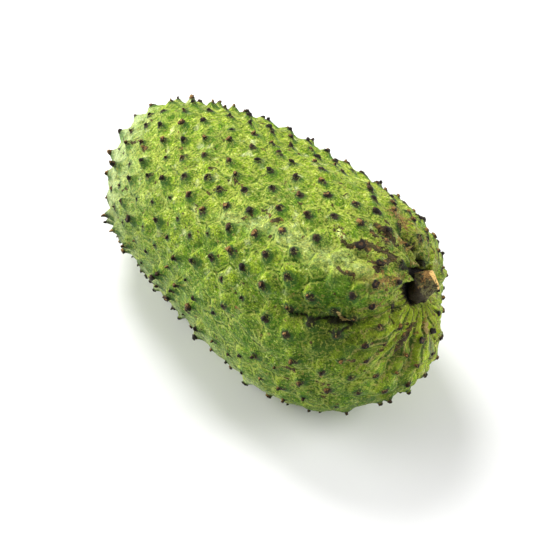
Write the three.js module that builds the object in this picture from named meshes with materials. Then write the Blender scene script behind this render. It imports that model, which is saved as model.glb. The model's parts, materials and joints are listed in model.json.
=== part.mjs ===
// A whole soursop, picked, lying on its side with its woody stem stub still on.
// Millimetres, +Z up. +X runs along the fruit towards its stem end. The origin is on the
// surface the fruit lies on, under the middle of its bounding box.
//
// The fruit is one closed skin. Its soft spines stand on a spiral lattice that starts at the
// stem and then settle apart. Each spine has an areole, the cell of skin that is nearer to it
// than to any other spine. The mesh follows the areoles: a fan of triangles from the spine to
// the border of its cell, divided again, so that a spine always has a ring round its foot.

import * as THREE from 'three';
import { ConvexHull } from 'three/addons/math/ConvexHull.js';

// ---------------------------------------------------------------- driving dimensions

const HALF_LENGTH = 121;     // body without spines, along its own axis
const HALF_WIDTH = 62;       // across, level
const HALF_HEIGHT = 59.5;    // across, upright
const FULLNESS = 2.55;       // 2 is an ellipsoid, more is blunter
const STEM_END_SWELL = 0.13; // how much thicker the stem end is than the waist
const AXIS_TILT = 0.1;       // the thick stem end lifts the axis, radians
const AXIS_HEIGHT = 58.2;    // of the body's centre over the surface it lies on
const CENTRE_X = 8.1;
const CENTRE_Y = -1.0;

// Broad swellings and hollows: where they face, how far they stand out, how wide they are.
const SWELLING_SPREAD = 0.12;
const SWELLING_REACH = 70;
const SWELLINGS = [
  { faces: [0.96, 0.10, 0.26], out: -8 },    // flattened stem end
  { faces: [0.80, 0.58, -0.16], out: -7.5 }, // far shoulder
  { faces: [0.86, -0.46, -0.22], out: -8 },  // near shoulder, low
  { faces: [0.27, -0.67, -0.70], out: 8 },   // near belly
  { faces: [0.00, 0.55, 0.83], out: -8 },    // hollow along the far back
  { faces: [-0.12, -0.96, -0.24], out: -6 }, // near waist
  { faces: [-0.42, 0.83, 0.37], out: 6 },    // far flank
  { faces: [-0.65, 0.18, 0.74], out: 6.5 },  // back of the blossom end
  { faces: [-0.61, -0.61, 0.51], out: -3.5 },
  { faces: [0.55, 0.66, 0.50], out: -3.5 },
];

// The stem's cavity, measured from the stem's pole along the skin. Headings round the pole
// are radians: 0 is level towards +Y, a quarter turn is up.
const STEM_POLE = [0.915, 0.19, 0.355]; // where the pole is, as a direction on a unit sphere
const CAVITY_DEPTH = 6.5;
const CAVITY_RADIUS = 11.6;
const CAVITY_EDGE = 5;                  // higher is a flatter floor with steeper walls
const CAVITY_LOPSIDED = 0.3;            // how much wider it is on one side
const CAVITY_WIDE_TOWARDS = 2.1;        // the heading of that side
const SHOULDER_RISE = 1.0;
const SHOULDER_RADIUS = 27;
const SHOULDER_WIDTH = 9;

// Folds that run out of the cavity, and one ridge: heading, how the heading turns for each
// millimetre away, where they start and end, depth (less than nothing is a ridge), half width.
const FOLDS = [
  { heading: 2.95, curl: 0, start: 10, end: 125, deep: 5.5, half: 10 },    // between the near lobes
  { heading: 2.58, curl: -0.042, start: 8, end: 44, deep: 4.5, half: 4 },  // up over the back
  { heading: -0.75, curl: 0, start: 5, end: 46, deep: 5.3, half: 8 },      // down the far side
  { heading: 2.5, curl: 0, start: 22, end: 125, deep: -2.2, half: 9 },
];
const FURROWS = 13;          // radial furrows round the cavity
const FURROW_DEEP = 1.0;
const FURROW_FROM = 11;
const FURROW_TO = 46;
const FURROW_SWING = 1.3;    // how far the furrows wander to the side, radians of their wave
const FURROW_SHIVER = 0.5;
const FOLD_SETS_IN = 8;      // millimetres over which a fold reaches its depth
const FURROW_SETS_IN = 6;
const FOLD_HOLDS = 0.35;     // share of its reach over which it keeps its depth
const FURROW_HOLDS = 0.4;
const FOLDS_REACH = 140;     // past this the skin is the plain body

// Spines.
const SPINES = 482;
const CAVITY_RINGS = [[0, 1], [5, 6], [10, 12], [16, 15]]; // spineless points: radius, count
const SPACING_STEM = 9.4;    // between spines beside the cavity
const SPACING_WAIST = 13.9;
const SPACING_TIP = 11.2;    // at the blossom end
const WAIST_SPAN = [25, 95]; // from the pole: where the spacing grows from the stem's to the waist's
const TIP_SPAN = [130, 215]; // and from the waist's to the blossom end's
const SPINE_LENGTH_STEM = 1.9;
const SPINE_LENGTH_TIP = 4.4;
const LENGTH_SPAN = [15, 200]; // from the pole: where the length grows from the first to the second
const LENGTH_LEAST = 0.72;   // shortest spine, as a share of the length grown there
const LENGTH_SPREAD = 0.5;   // and how much more the longest has
const SPINE_FOOT = 4.2;      // radius of the flared foot
const SPINE_FLARE = 2.2;     // higher is a thinner spine on a wider foot
const SETTLING_ROUNDS = 140;
const SETTLING_STEP = 0.3;
const PUSHED_WITHIN = 0.65;  // share of the sum of two spacings within which spines push
const LATTICE_OPENING = 8;   // spines left out of the lattice round the stem
const LATTICE_JITTER = 0.5;  // how uneven the lattice's turns are
const SCATTER = 0.9;         // how far each spine strays from its settled place
const SPINE_LEAN = 0.28;     // how far a spine may lean, as a share of its length
const WORN_SIDE = [-0.35, -0.85, -0.4]; // here many spines are worn to nubs, and the rest stand tall
const WORN_SIDE_EDGE = [0.15, 0.7]; // cosines to that side where wear sets in and is full
const WORN_SHARE = 0.08;     // of all spines
const WORN_SHARE_SIDE = 0.58; // of those in the middle of the worn side
const WORN_LENGTH = 0.32;    // as a share of a whole spine's
const TALL_LENGTH = 1.3;     // of those left whole on the worn side
const AREOLE_SWELL = 0.7;    // how far the middle of an areole stands over its border
const CELL_DIVISIONS = 2;
const RING_DRAWN_IN = 0.55;  // how near its spine the ring of points is drawn
const NET_STRETCH = 0.8;     // how evenly the ball under the net spreads the long body's ends

// Stem stub. It leaves the cavity's floor squarely, beside the pole, and bends to its heading.
const STUB_RADIUS = 4.4;
const STUB_COLLAR_RADIUS = 6.4;
const STUB_LENGTH = 13.5;
const STUB_HEADING = [0.493, 0.711, 0.502];
const STUB_BENT_BY = 0.5;    // share of its length by which it has its heading
const STUB_LEVEL = -1.6;     // where its base stands from the pole, level
const STUB_UP = -0.4;        // and upwards
const STUB_GAP = 0.6;        // between the base and the cavity's floor
const STUB_SIDES = 24;
const STUB_THREE_LOBED = 0.05; // how far its outline strays from round
const STUB_FIVE_LOBED = 0.03;

// ---------------------------------------------------------------- small helpers

const GOLDEN_ANGLE = Math.PI * (3 - Math.sqrt(5));
const fract = (x) => x - Math.floor(x);
const chance = (i, k) => fract(Math.sin(i * 12.9898 + k * 78.233) * 43758.5453);
const clamp01 = (x) => Math.min(1, Math.max(0, x));
const smooth = (a, b, x) => {
  const t = clamp01((x - a) / (b - a));
  return t * t * (3 - 2 * t);
};
const unit = (list) => new THREE.Vector3(...list).normalize();
const wornSide = unit(WORN_SIDE);

// ---------------------------------------------------------------- the body

const swellings = SWELLINGS.map(({ faces, out }) => ({ faces: unit(faces), out }));
const tilt = (v) => {
  const c = Math.cos(AXIS_TILT);
  const s = Math.sin(AXIS_TILT);
  return new THREE.Vector3(v.x * c - v.z * s, v.y, v.x * s + v.z * c);
};

// The smooth body's surface where a unit direction aims.
function bodyPoint(aim) {
  const across = Math.hypot(aim.y, aim.z);
  let reach = (Math.abs(aim.x) ** FULLNESS + across ** FULLNESS) ** (-1 / FULLNESS);
  let swell = 0;
  for (const { faces, out } of swellings) {
    swell += out * Math.exp(-(1 - aim.dot(faces)) / SWELLING_SPREAD);
  }
  reach *= 1 + swell / SWELLING_REACH;
  const along = aim.x * reach;
  const thick = reach * (1 + STEM_END_SWELL * along);
  const place = tilt(new THREE.Vector3(
    HALF_LENGTH * along, HALF_WIDTH * aim.y * thick, HALF_HEIGHT * aim.z * thick));
  return place.add(new THREE.Vector3(CENTRE_X, CENTRE_Y, AXIS_HEIGHT));
}

function sideways(aim) {
  const first = new THREE.Vector3(0, 0, 1).cross(aim).normalize();
  return [first, aim.clone().cross(first)];
}

function bodyNormal(aim) {
  const step = 0.01;
  const [u, v] = sideways(aim);
  const at = (w, s) => bodyPoint(aim.clone().addScaledVector(w, s).normalize());
  const du = at(u, step).sub(at(u, -step));
  const dv = at(v, step).sub(at(v, -step));
  return du.cross(dv).normalize();
}

// A small move over the surface, as a new aim.
function moveAim(aim, shift) {
  const c = Math.cos(AXIS_TILT);
  const s = Math.sin(AXIS_TILT);
  return new THREE.Vector3(
    aim.x + (shift.x * c + shift.z * s) / HALF_LENGTH,
    aim.y + shift.y / HALF_WIDTH,
    aim.z + (-shift.x * s + shift.z * c) / HALF_HEIGHT).normalize();
}

// ---------------------------------------------------------------- round the stem

const poleAim = unit(STEM_POLE);
const pole = bodyPoint(poleAim);
const poleNormal = bodyNormal(poleAim);
const poleLevel = new THREE.Vector3(0, 0, 1).cross(poleNormal).normalize();
const poleUp = poleNormal.clone().cross(poleLevel);

function fromPole(point) {
  const d = point.clone().sub(pole);
  return { away: d.length(), heading: Math.atan2(d.dot(poleUp), d.dot(poleLevel)) };
}

function turnBetween(a, b) {
  return Math.atan2(Math.sin(a - b), Math.cos(a - b));
}

function cavity(away, heading) {
  const radius = CAVITY_RADIUS * (1 + CAVITY_LOPSIDED * Math.cos(heading - CAVITY_WIDE_TOWARDS));
  const sunk = CAVITY_DEPTH * Math.exp(-((away / radius) ** CAVITY_EDGE));
  const shoulder = SHOULDER_RISE * Math.exp(-(((away - SHOULDER_RADIUS) / SHOULDER_WIDTH) ** 2));
  return shoulder - sunk;
}

function folds(away, heading) {
  let rise = 0;
  for (const fold of FOLDS) {
    const off = away * turnBetween(heading, fold.heading + fold.curl * away);
    const sets = smooth(fold.start, fold.start + FOLD_SETS_IN, away);
    const run = sets * (1 - smooth(fold.end * FOLD_HOLDS, fold.end, away));
    rise -= fold.deep * run * Math.exp(-((off / fold.half) ** 2));
  }
  const sets = smooth(FURROW_FROM, FURROW_FROM + FURROW_SETS_IN, away);
  const run = sets * (1 - smooth(FURROW_TO * FURROW_HOLDS, FURROW_TO, away));
  const wander = FURROW_SWING * Math.sin(2 * heading + 0.6) + FURROW_SHIVER * Math.sin(3 * heading);
  return rise + FURROW_DEEP * run * Math.cos(FURROWS * heading + wander);
}

// The skin without spines: body, cavity and folds.
function skinPoint(aim) {
  const point = bodyPoint(aim);
  const { away, heading } = fromPole(point);
  if (away < FOLDS_REACH) {
    point.addScaledVector(bodyNormal(aim), folds(away, heading));
    point.addScaledVector(poleNormal, cavity(away, heading));
  }
  return point;
}

// ---------------------------------------------------------------- where the spines stand

function spacingAt(point) {
  const { away } = fromPole(point);
  const waist = smooth(...WAIST_SPAN, away);
  const tip = smooth(...TIP_SPAN, away);
  return SPACING_STEM + (SPACING_WAIST - SPACING_STEM) * waist + (SPACING_TIP - SPACING_WAIST) * tip;
}

function sitesRoundStem() {
  const sites = [];
  for (const [radius, count] of CAVITY_RINGS) {
    for (let k = 0; k < count; k += 1) {
      const turn = 2 * Math.PI * (k + 0.5 * (count % 2)) / count;
      const shift = poleLevel.clone().multiplyScalar(radius * Math.cos(turn))
        .addScaledVector(poleUp, radius * Math.sin(turn));
      sites.push({ aim: moveAim(poleAim, shift), length: 0 });
    }
  }
  return sites;
}

function sitesOfSpines() {
  const spin = new THREE.Quaternion().setFromUnitVectors(new THREE.Vector3(1, 0, 0), poleAim);
  const sites = [];
  for (let i = 0; i < SPINES; i += 1) {
    const opening = LATTICE_OPENING * (1 - i / SPINES);
    const along = 1 - 2 * (i + 0.5 + opening) / (SPINES + LATTICE_OPENING);
    const across = Math.sqrt(1 - along * along);
    const turn = i * GOLDEN_ANGLE + LATTICE_JITTER * (chance(i, 1) - 0.5) / Math.max(across, 0.2);
    const aim = new THREE.Vector3(along, across * Math.cos(turn), across * Math.sin(turn));
    sites.push({ aim: aim.applyQuaternion(spin), length: 1 });
  }
  return sites;
}

// Spines push each other apart until they keep the spacing of their part of the fruit.
function settle(fixed, free) {
  const all = [...fixed, ...free];
  for (let round = 0; round < SETTLING_ROUNDS; round += 1) {
    const points = all.map((site) => bodyPoint(site.aim));
    const room = points.map(spacingAt);
    const moved = free.map((site, k) => {
      const i = fixed.length + k;
      const shift = new THREE.Vector3();
      for (let j = 0; j < all.length; j += 1) {
        const gap = points[i].distanceTo(points[j]);
        const want = PUSHED_WITHIN * (room[i] + room[j]);
        if (j !== i && gap < want) {
          const push = points[i].clone().sub(points[j]);
          shift.addScaledVector(push, SETTLING_STEP * (want - gap) / gap);
        }
      }
      return moveAim(site.aim, shift);
    });
    free.forEach((site, k) => { site.aim = moved[k]; });
  }
}

function scatter(free) {
  free.forEach((site, i) => {
    const [u, v] = sideways(site.aim);
    const turn = 2 * Math.PI * chance(i, 2);
    const far = SCATTER * (0.5 + chance(i, 3));
    const shift = tilt(u.multiplyScalar(far * Math.cos(turn)).addScaledVector(v, far * Math.sin(turn)));
    site.aim = moveAim(site.aim, shift);
    const { away } = fromPole(bodyPoint(site.aim));
    const grown = SPINE_LENGTH_STEM
      + (SPINE_LENGTH_TIP - SPINE_LENGTH_STEM) * smooth(...LENGTH_SPAN, away);
    const side = smooth(...WORN_SIDE_EDGE, site.aim.dot(wornSide));
    const isWorn = chance(i, 7) < WORN_SHARE + (WORN_SHARE_SIDE - WORN_SHARE) * side;
    const kept = isWorn ? WORN_LENGTH : 1 + (TALL_LENGTH - 1) * side;
    site.length = grown * kept * (LENGTH_LEAST + LENGTH_SPREAD * chance(i, 4));
  });
}

// ---------------------------------------------------------------- the net over the sites

// Spreads the sites over a ball without changing angles much, so that its hull joins neighbours.
function onBall(aim) {
  const across = Math.hypot(aim.y, aim.z);
  const stretch = (HALF_LENGTH / HALF_WIDTH - 1) * NET_STRETCH;
  const x = Math.tanh(Math.atanh(THREE.MathUtils.clamp(aim.x, -0.9999, 0.9999)) + stretch * aim.x);
  const round = Math.sqrt(1 - x * x) / Math.max(across, 1e-9);
  return new THREE.Vector3(x, aim.y * round, aim.z * round);
}

function netOver(sites) {
  const corners = sites.map((site) => onBall(site.aim));
  const index = new Map(corners.map((corner, i) => [corner, i]));
  const hull = new ConvexHull().setFromPoints(corners);
  return hull.faces.map((face) => {
    const a = face.edge;
    return [a, a.next, a.next.next].map((edge) => index.get(edge.head().point));
  });
}

// Turns the net of spines into fans of cells: a corner where three areoles meet stands in
// each triangle of the net, and each side of a triangle gives two spines a slice of their cells.
function cellFans(sites, triangles) {
  const aims = sites.map((site) => site.aim);
  const cornerOf = new Map();
  for (const [a, b, c] of triangles) {
    const corner = aims.push(aims[a].clone().add(aims[b]).add(aims[c]).normalize()) - 1;
    cornerOf.set(`${a} ${b}`, corner).set(`${b} ${c}`, corner).set(`${c} ${a}`, corner);
  }
  const fans = [];
  for (const [side, corner] of cornerOf) {
    const [a, b] = side.split(' ').map(Number);
    fans.push([a, cornerOf.get(`${b} ${a}`), corner]);
  }
  return { aims, fans };
}

// Divides each triangle into n * n.
function divide({ aims, fans }, n) {
  const points = [...aims];
  const shared = new Map();
  const pointAt = (corners, weights) => {
    const used = corners.map((c, i) => [c, weights[i]]).filter(([, weight]) => weight > 0);
    if (used.length === 1) return used[0][0];
    const key = used.sort((p, q) => p[0] - q[0]).join('|');
    if (!shared.has(key)) {
      const aim = new THREE.Vector3();
      for (const [c, weight] of used) aim.addScaledVector(aims[c], weight / n);
      shared.set(key, points.push(aim.normalize()) - 1);
    }
    return shared.get(key);
  };
  const faces = [];
  for (const corners of fans) {
    const at = (i, j) => pointAt(corners, [n - i - j, i, j]);
    for (let i = 0; i < n; i += 1) {
      for (let j = 0; j < n - i; j += 1) {
        faces.push([at(i, j), at(i + 1, j), at(i, j + 1)]);
        if (i + j < n - 1) faces.push([at(i + 1, j), at(i + 1, j + 1), at(i, j + 1)]);
      }
    }
  }
  return { points, faces };
}

// The nearest foot, how far it is, and that distance as a share of the next nearest's.
function nearestFoot(point, feet) {
  let nearest = 0;
  let best = Infinity;
  let next = Infinity;
  feet.forEach((foot, i) => {
    const gap = point.distanceTo(foot);
    if (gap < best) {
      next = best;
      [nearest, best] = [i, gap];
    } else if (gap < next) {
      next = gap;
    }
  });
  return { nearest, share: best / next };
}

// ---------------------------------------------------------------- the fruit

// A spine leans a little to one side, and is pressed short over the surface the fruit lies on.
function spineAt(site, i) {
  const foot = skinPoint(site.aim);
  const normal = bodyNormal(site.aim);
  const [u, v] = sideways(site.aim);
  const turn = 2 * Math.PI * chance(i, 5);
  const lean = SPINE_LEAN * chance(i, 6);
  const axis = normal.clone()
    .addScaledVector(u, lean * Math.cos(turn))
    .addScaledVector(v, lean * Math.sin(turn));
  const room = Math.max(foot.z, 0) / Math.max(-normal.z, 0.05);
  return { foot, axis, length: normal.z < 0 ? Math.min(site.length, room) : site.length };
}

function fruitGeometry() {
  const fixed = sitesRoundStem();
  const free = sitesOfSpines();
  settle(fixed, free);
  scatter(free);
  const sites = [...fixed, ...free];
  const { points, faces } = divide(cellFans(sites, netOver(sites)), CELL_DIVISIONS);
  const feet = sites.map((site) => bodyPoint(site.aim));
  const spines = sites.map(spineAt);
  const position = [];
  for (const aim of points) {
    const { nearest, share } = nearestFoot(bodyPoint(aim), feet);
    if (sites[nearest].length > 0) {
      const kept = RING_DRAWN_IN + (1 - RING_DRAWN_IN) * share * share;
      aim.lerp(sites[nearest].aim, 1 - kept).normalize();
    }
    const spine = spines[nearest];
    const place = skinPoint(aim);
    const rise = spine.length * clamp01(1 - place.distanceTo(spine.foot) / SPINE_FOOT) ** SPINE_FLARE;
    place.addScaledVector(spine.axis, rise).addScaledVector(bodyNormal(aim), -AREOLE_SWELL * share * share);
    position.push(place.x, place.y, Math.max(place.z, 0));
  }
  const geometry = new THREE.BufferGeometry();
  geometry.setAttribute('position', new THREE.Float32BufferAttribute(position, 3));
  geometry.setIndex(faces.flat());
  return geometry;
}

// ---------------------------------------------------------------- the stem stub

// Radius against the share of the length, from the base to the cut end.
const STUB_PROFILE = [
  [STUB_COLLAR_RADIUS * 0.66, 0], [STUB_COLLAR_RADIUS * 0.9, 0.07], [STUB_COLLAR_RADIUS, 0.17],
  [STUB_COLLAR_RADIUS * 0.96, 0.28], [STUB_RADIUS * 1.38, 0.4], [STUB_RADIUS * 1.25, 0.54],
  [STUB_RADIUS * 1.1, 0.74], [STUB_RADIUS * 1.05, 0.93], [STUB_RADIUS * 0.97, 1],
];

// The share of the stub's length that runs along its heading, up to a share of its length.
function shareBent(share) {
  const t = Math.min(1, share / STUB_BENT_BY);
  return STUB_BENT_BY * (t ** 3 - t ** 4 / 2) + Math.max(0, share - STUB_BENT_BY);
}

// A turned profile whose axis leaves the cavity square to its floor and bends to its heading.
function stubGeometry() {
  const base = pole.clone()
    .addScaledVector(poleNormal, STUB_GAP - CAVITY_DEPTH)
    .addScaledVector(poleLevel, STUB_LEVEL)
    .addScaledVector(poleUp, STUB_UP);
  const heading = unit(STUB_HEADING);
  const frameAt = (share) => {
    const axis = poleNormal.clone().lerp(heading, smooth(0, STUB_BENT_BY, share)).normalize();
    const level = poleLevel.clone().addScaledVector(axis, -poleLevel.dot(axis)).normalize();
    const centre = base.clone()
      .addScaledVector(poleNormal, STUB_LENGTH * (share - shareBent(share)))
      .addScaledVector(heading, STUB_LENGTH * shareBent(share));
    return { centre, level, up: axis.clone().cross(level) };
  };
  const points = [frameAt(0).centre];
  for (const [radius, share] of STUB_PROFILE) {
    const { centre, level, up } = frameAt(share);
    for (let k = 0; k < STUB_SIDES; k += 1) {
      const turn = 2 * Math.PI * k / STUB_SIDES;
      const uneven = 1 + STUB_THREE_LOBED * Math.sin(3 * turn + 2 * share)
        + STUB_FIVE_LOBED * Math.sin(5 * turn);
      points.push(centre.clone()
        .addScaledVector(level, radius * uneven * Math.cos(turn))
        .addScaledVector(up, radius * uneven * Math.sin(turn)));
    }
  }
  points.push(frameAt(1).centre);
  const last = points.length - 1;
  const at = (ring, k) => 1 + ring * STUB_SIDES + (k % STUB_SIDES);
  const faces = [];
  for (let k = 0; k < STUB_SIDES; k += 1) {
    faces.push(0, at(0, k + 1), at(0, k));
    faces.push(last, at(STUB_PROFILE.length - 1, k), at(STUB_PROFILE.length - 1, k + 1));
    for (let ring = 0; ring < STUB_PROFILE.length - 1; ring += 1) {
      faces.push(at(ring, k), at(ring, k + 1), at(ring + 1, k + 1));
      faces.push(at(ring, k), at(ring + 1, k + 1), at(ring + 1, k));
    }
  }
  return new THREE.BufferGeometry().setFromPoints(points).setIndex(faces);
}

// ---------------------------------------------------------------- materials and the group

const skin = new THREE.MeshStandardMaterial({ color: 0x7da33a, roughness: 0.55, metalness: 0 });
const bark = new THREE.MeshStandardMaterial({ color: 0x5f4f2a, roughness: 0.85, metalness: 0 });

function part(name, geometry, material) {
  const mesh = new THREE.Mesh(geometry, material);
  mesh.name = name;
  return mesh;
}

const soursop = new THREE.Group();
soursop.add(part('fruit', fruitGeometry(), skin));
soursop.add(part('stem', stubGeometry(), bark));

export default soursop;
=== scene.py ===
"""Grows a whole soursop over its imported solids: rind, withered spine tips and stem stub.

Blender objects are in metres. The fruit's form is worked out in millimetres and made
metres at the end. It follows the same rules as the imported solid, with the same numbers:
one skin with a cavity round the stem, and soft spines that start on a spiral and settle
apart.
"""

import functools
import json
import math
from types import SimpleNamespace

import bpy
import numpy as np
from bpy.props import FloatProperty, FloatVectorProperty, IntProperty, PointerProperty
from mathutils import Matrix, Vector, noise

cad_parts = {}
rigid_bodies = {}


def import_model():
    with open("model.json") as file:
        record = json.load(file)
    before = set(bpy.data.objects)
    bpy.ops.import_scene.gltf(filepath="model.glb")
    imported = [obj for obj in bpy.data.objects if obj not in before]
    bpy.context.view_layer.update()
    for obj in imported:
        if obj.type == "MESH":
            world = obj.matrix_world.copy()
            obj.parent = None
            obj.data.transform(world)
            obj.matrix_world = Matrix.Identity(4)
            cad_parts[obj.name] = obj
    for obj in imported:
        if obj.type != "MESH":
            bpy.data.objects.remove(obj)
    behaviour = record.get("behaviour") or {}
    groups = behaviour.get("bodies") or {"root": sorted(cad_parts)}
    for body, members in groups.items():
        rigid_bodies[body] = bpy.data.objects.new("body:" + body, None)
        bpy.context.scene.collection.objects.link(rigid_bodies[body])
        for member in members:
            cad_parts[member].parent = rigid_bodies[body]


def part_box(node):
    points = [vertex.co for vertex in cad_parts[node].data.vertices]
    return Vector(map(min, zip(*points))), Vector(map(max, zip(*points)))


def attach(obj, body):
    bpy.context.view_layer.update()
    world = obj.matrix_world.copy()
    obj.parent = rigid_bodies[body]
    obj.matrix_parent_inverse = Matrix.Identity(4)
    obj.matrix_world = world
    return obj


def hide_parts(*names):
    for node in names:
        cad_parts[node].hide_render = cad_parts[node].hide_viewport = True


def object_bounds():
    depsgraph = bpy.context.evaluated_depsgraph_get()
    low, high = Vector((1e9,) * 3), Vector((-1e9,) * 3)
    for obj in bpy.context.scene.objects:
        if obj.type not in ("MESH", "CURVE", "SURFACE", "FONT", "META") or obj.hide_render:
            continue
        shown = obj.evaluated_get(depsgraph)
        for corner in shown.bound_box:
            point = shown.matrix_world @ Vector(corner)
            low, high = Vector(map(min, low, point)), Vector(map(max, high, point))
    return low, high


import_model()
cad_box = [list(corner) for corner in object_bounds()]

bl_info = {
    "name": "Soursop",
    "version": (1, 0, 0),
    "blender": (4, 5, 0),
    "location": "View3D > Sidebar > Soursop",
    "description": "Grows a whole soursop over its packed solids",
    "category": "Add Mesh",
}

MM = 0.001

# ---------------------------------------------------------------- the fruit's form, in mm

# The body without spines: half its sides, how blunt it is, where 2 is an ellipsoid, how much
# thicker its stem end is than its waist, and how far its axis slopes up to it, in radians.
HALF_LENGTH = 121.0
HALF_WIDTH = 62.0
HALF_HEIGHT = 59.5
FULLNESS = 2.55
STEM_END_SWELL = 0.13
AXIS_TILT = 0.1
CENTRE = np.array([8.1, -1.0, 58.2])

# Where each swelling or hollow faces, and how far it goes out.
SWELLING_SPREAD = 0.12
SWELLING_REACH = 70.0
SWELLINGS = (
    ((0.96, 0.10, 0.26), -8.0),
    ((0.80, 0.58, -0.16), -7.5),
    ((0.86, -0.46, -0.22), -8.0),
    ((0.27, -0.67, -0.70), 8.0),
    ((0.00, 0.55, 0.83), -8.0),
    ((-0.12, -0.96, -0.24), -6.0),
    ((-0.42, 0.83, 0.37), 6.0),
    ((-0.65, 0.18, 0.74), 6.5),
    ((-0.61, -0.61, 0.51), -3.5),
    ((0.55, 0.66, 0.50), -3.5),
)

# The pole that the stem stands on, as a direction, and the cavity and shoulder round it.
STEM_POLE = (0.915, 0.19, 0.355)
CAVITY_DEPTH = 6.5
CAVITY_RADIUS = 11.6
CAVITY_EDGE = 5.0
CAVITY_LOPSIDED = 0.3
CAVITY_WIDE_TOWARDS = 2.1
SHOULDER_RISE = 1.0
SHOULDER_RADIUS = 27.0
SHOULDER_WIDTH = 9.0

# Heading, turn of the heading per mm, start, end, depth, half width.
FOLDS = (
    (2.95, 0.0, 10.0, 125.0, 5.5, 10.0),
    (2.58, -0.042, 8.0, 44.0, 4.5, 4.0),
    (-0.75, 0.0, 5.0, 46.0, 5.3, 8.0),
    (2.5, 0.0, 22.0, 125.0, -2.2, 9.0),
)
FURROWS = 13
FURROW_DEEP = 1.0
FURROW_FROM = 11.0
FURROW_TO = 46.0
# How far the furrows wander to the side, in radians of their wave.
FURROW_SWING = 1.3
FURROW_SHIVER = 0.5
# Millimetres over which folds and furrows reach their depth, and the share of their reach
# over which they keep it.
FOLD_SETS_IN = 8.0
FURROW_SETS_IN = 6.0
FOLD_HOLDS = 0.35
FURROW_HOLDS = 0.4
# Past this the skin is the plain body.
FOLDS_REACH = 140.0

SPINES = 482
# Spineless sites round the pole: radius and count of each ring.
CAVITY_RINGS = ((0, 1), (5, 6), (10, 12), (16, 15))
# Room round each spine, and from where to where it changes, from the pole.
SPACING_STEM = 9.4
SPACING_WAIST = 13.9
SPACING_TIP = 11.2
WAIST_SPAN = (25.0, 95.0)
TIP_SPAN = (130.0, 215.0)
SPINE_LENGTH_STEM = 1.9
SPINE_LENGTH_TIP = 4.4
LENGTH_SPAN = (15.0, 200.0)
# The shortest spine, as a share of the length grown there, and how much more the longest has.
LENGTH_LEAST = 0.72
LENGTH_SPREAD = 0.5
# A spine's fleshy cone: the radius of its foot, how hollow its sides are, and its share of
# the spine's length.
CONE_FOOT = 4.7
CONE_FLARE = 1.5
CONE_SHARE = 0.7
# The golden lattice leaves this many spines out round the stem, and its turns are uneven.
GOLDEN_ANGLE = math.pi * (3.0 - math.sqrt(5.0))
LATTICE_OPENING = 8
LATTICE_JITTER = 0.5
# Spines push within this share of the sum of their two spacings.
PUSHED_WITHIN = 0.65
SETTLING_ROUNDS = 140
SETTLING_STEP = 0.3
SCATTER = 0.9
SPINE_LEAN = 0.28
# On this side many spines are worn to nubs and the rest stand tall. The edge is the cosines
# to it where wear sets in and is full.
WORN_SIDE = (-0.35, -0.85, -0.4)
WORN_SIDE_EDGE = (0.15, 0.7)
WORN_SHARE = 0.08
WORN_SHARE_SIDE = 0.58
WORN_LENGTH = 0.32
TALL_LENGTH = 1.3

# Each thing left to chance has its own draw, so that no two go together.
(
    DRAW_LATTICE,
    DRAW_SCATTER_TURN,
    DRAW_SCATTER,
    DRAW_LENGTH,
    DRAW_LEAN_TURN,
    DRAW_LEAN,
    DRAW_WORN,
    DRAW_AREOLE,
    DRAW_KIND,
    DRAW_WIDTH,
    DRAW_HEIGHT,
    DRAW_SPIN,
    DRAW_TONE,
) = range(1, 14)

# The stub has its heading by this share of its length. It stands on the cavity's floor, moved
# level and up from the pole, with a gap under it.
STUB_RADIUS = 4.4
STUB_COLLAR_RADIUS = 6.4
STUB_LENGTH = 13.5
STUB_HEADING = (0.493, 0.711, 0.502)
STUB_BENT_BY = 0.5
STUB_LEVEL = -1.6
STUB_UP = -0.4
STUB_GAP = 0.6

# ---------------------------------------------------------------- marks on the skin

# They are drawn on the stem's chart: millimetres from the pole, level and upwards, up to this
# far from it. Each is a stroke with its half width.
CHART_REACH = 200.0
CORKY_SCARS = (
    (((-3.8, 40.2), (-4.9, 37.3), (-5.0, 34.2), (-5.3, 29.6)), 1.9),
    (((-27.4, 43.8), (-26.7, 41.7), (-26.0, 39.1)), 1.5),
    (((-23.1, 39.7), (-20.5, 38.4), (-17.9, 35.1), (-15.6, 30.7), (-13.7, 25.5)), 2.1),
    (((-22.4, 34.2), (-20.5, 36.5)), 1.7),
    (((-13.7, 25.5), (-18.0, 26.8), (-24.0, 26.3), (-25.7, 25.2)), 1.4),
    (((-24.6, 29.9), (-22.0, 26.5)), 1.0),
    (((-10.2, 40.2), (-10.7, 37.2), (-11.4, 34.0)), 1.4),
    (((-41.0, 81.5), (-40.1, 77.3), (-42.5, 72.3), (-45.1, 66.2)), 1.0),
    (((-43.0, 69.5), (-39.9, 67.6)), 1.5),
    (((-38.2, 113.0), (-37.6, 107.6)), 2.0),
    (((-23.5, 114.0), (-20.9, 108.7), (-28.8, 99.2)), 0.8),
    (((-11.7, 130.1), (-8.2, 126.4)), 1.1),
    (((-61.9, -36.3), (-57.4, -35.0)), 1.1),
    (((-58.9, -40.5), (-54.0, -46.0)), 1.0),
    (((-75.4, -27.5), (-71.5, -27.8)), 1.2),
    (((-51.7, -18.2), (-48.4, -20.1)), 0.9),
    (((60.6, 181.3), (58.6, 181.2)), 2.5),
    (((30.6, 176.5), (26.0, 176.0)), 2.5),
    (((-12.2, -15.0), (-17.6, -13.4), (-24.0, -18.9), (-26.3, -25.0)), 2.2),
    (((-39.7, 32.9), (-38.3, 30.2), (-35.5, 27.5)), 1.2),
)
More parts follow.
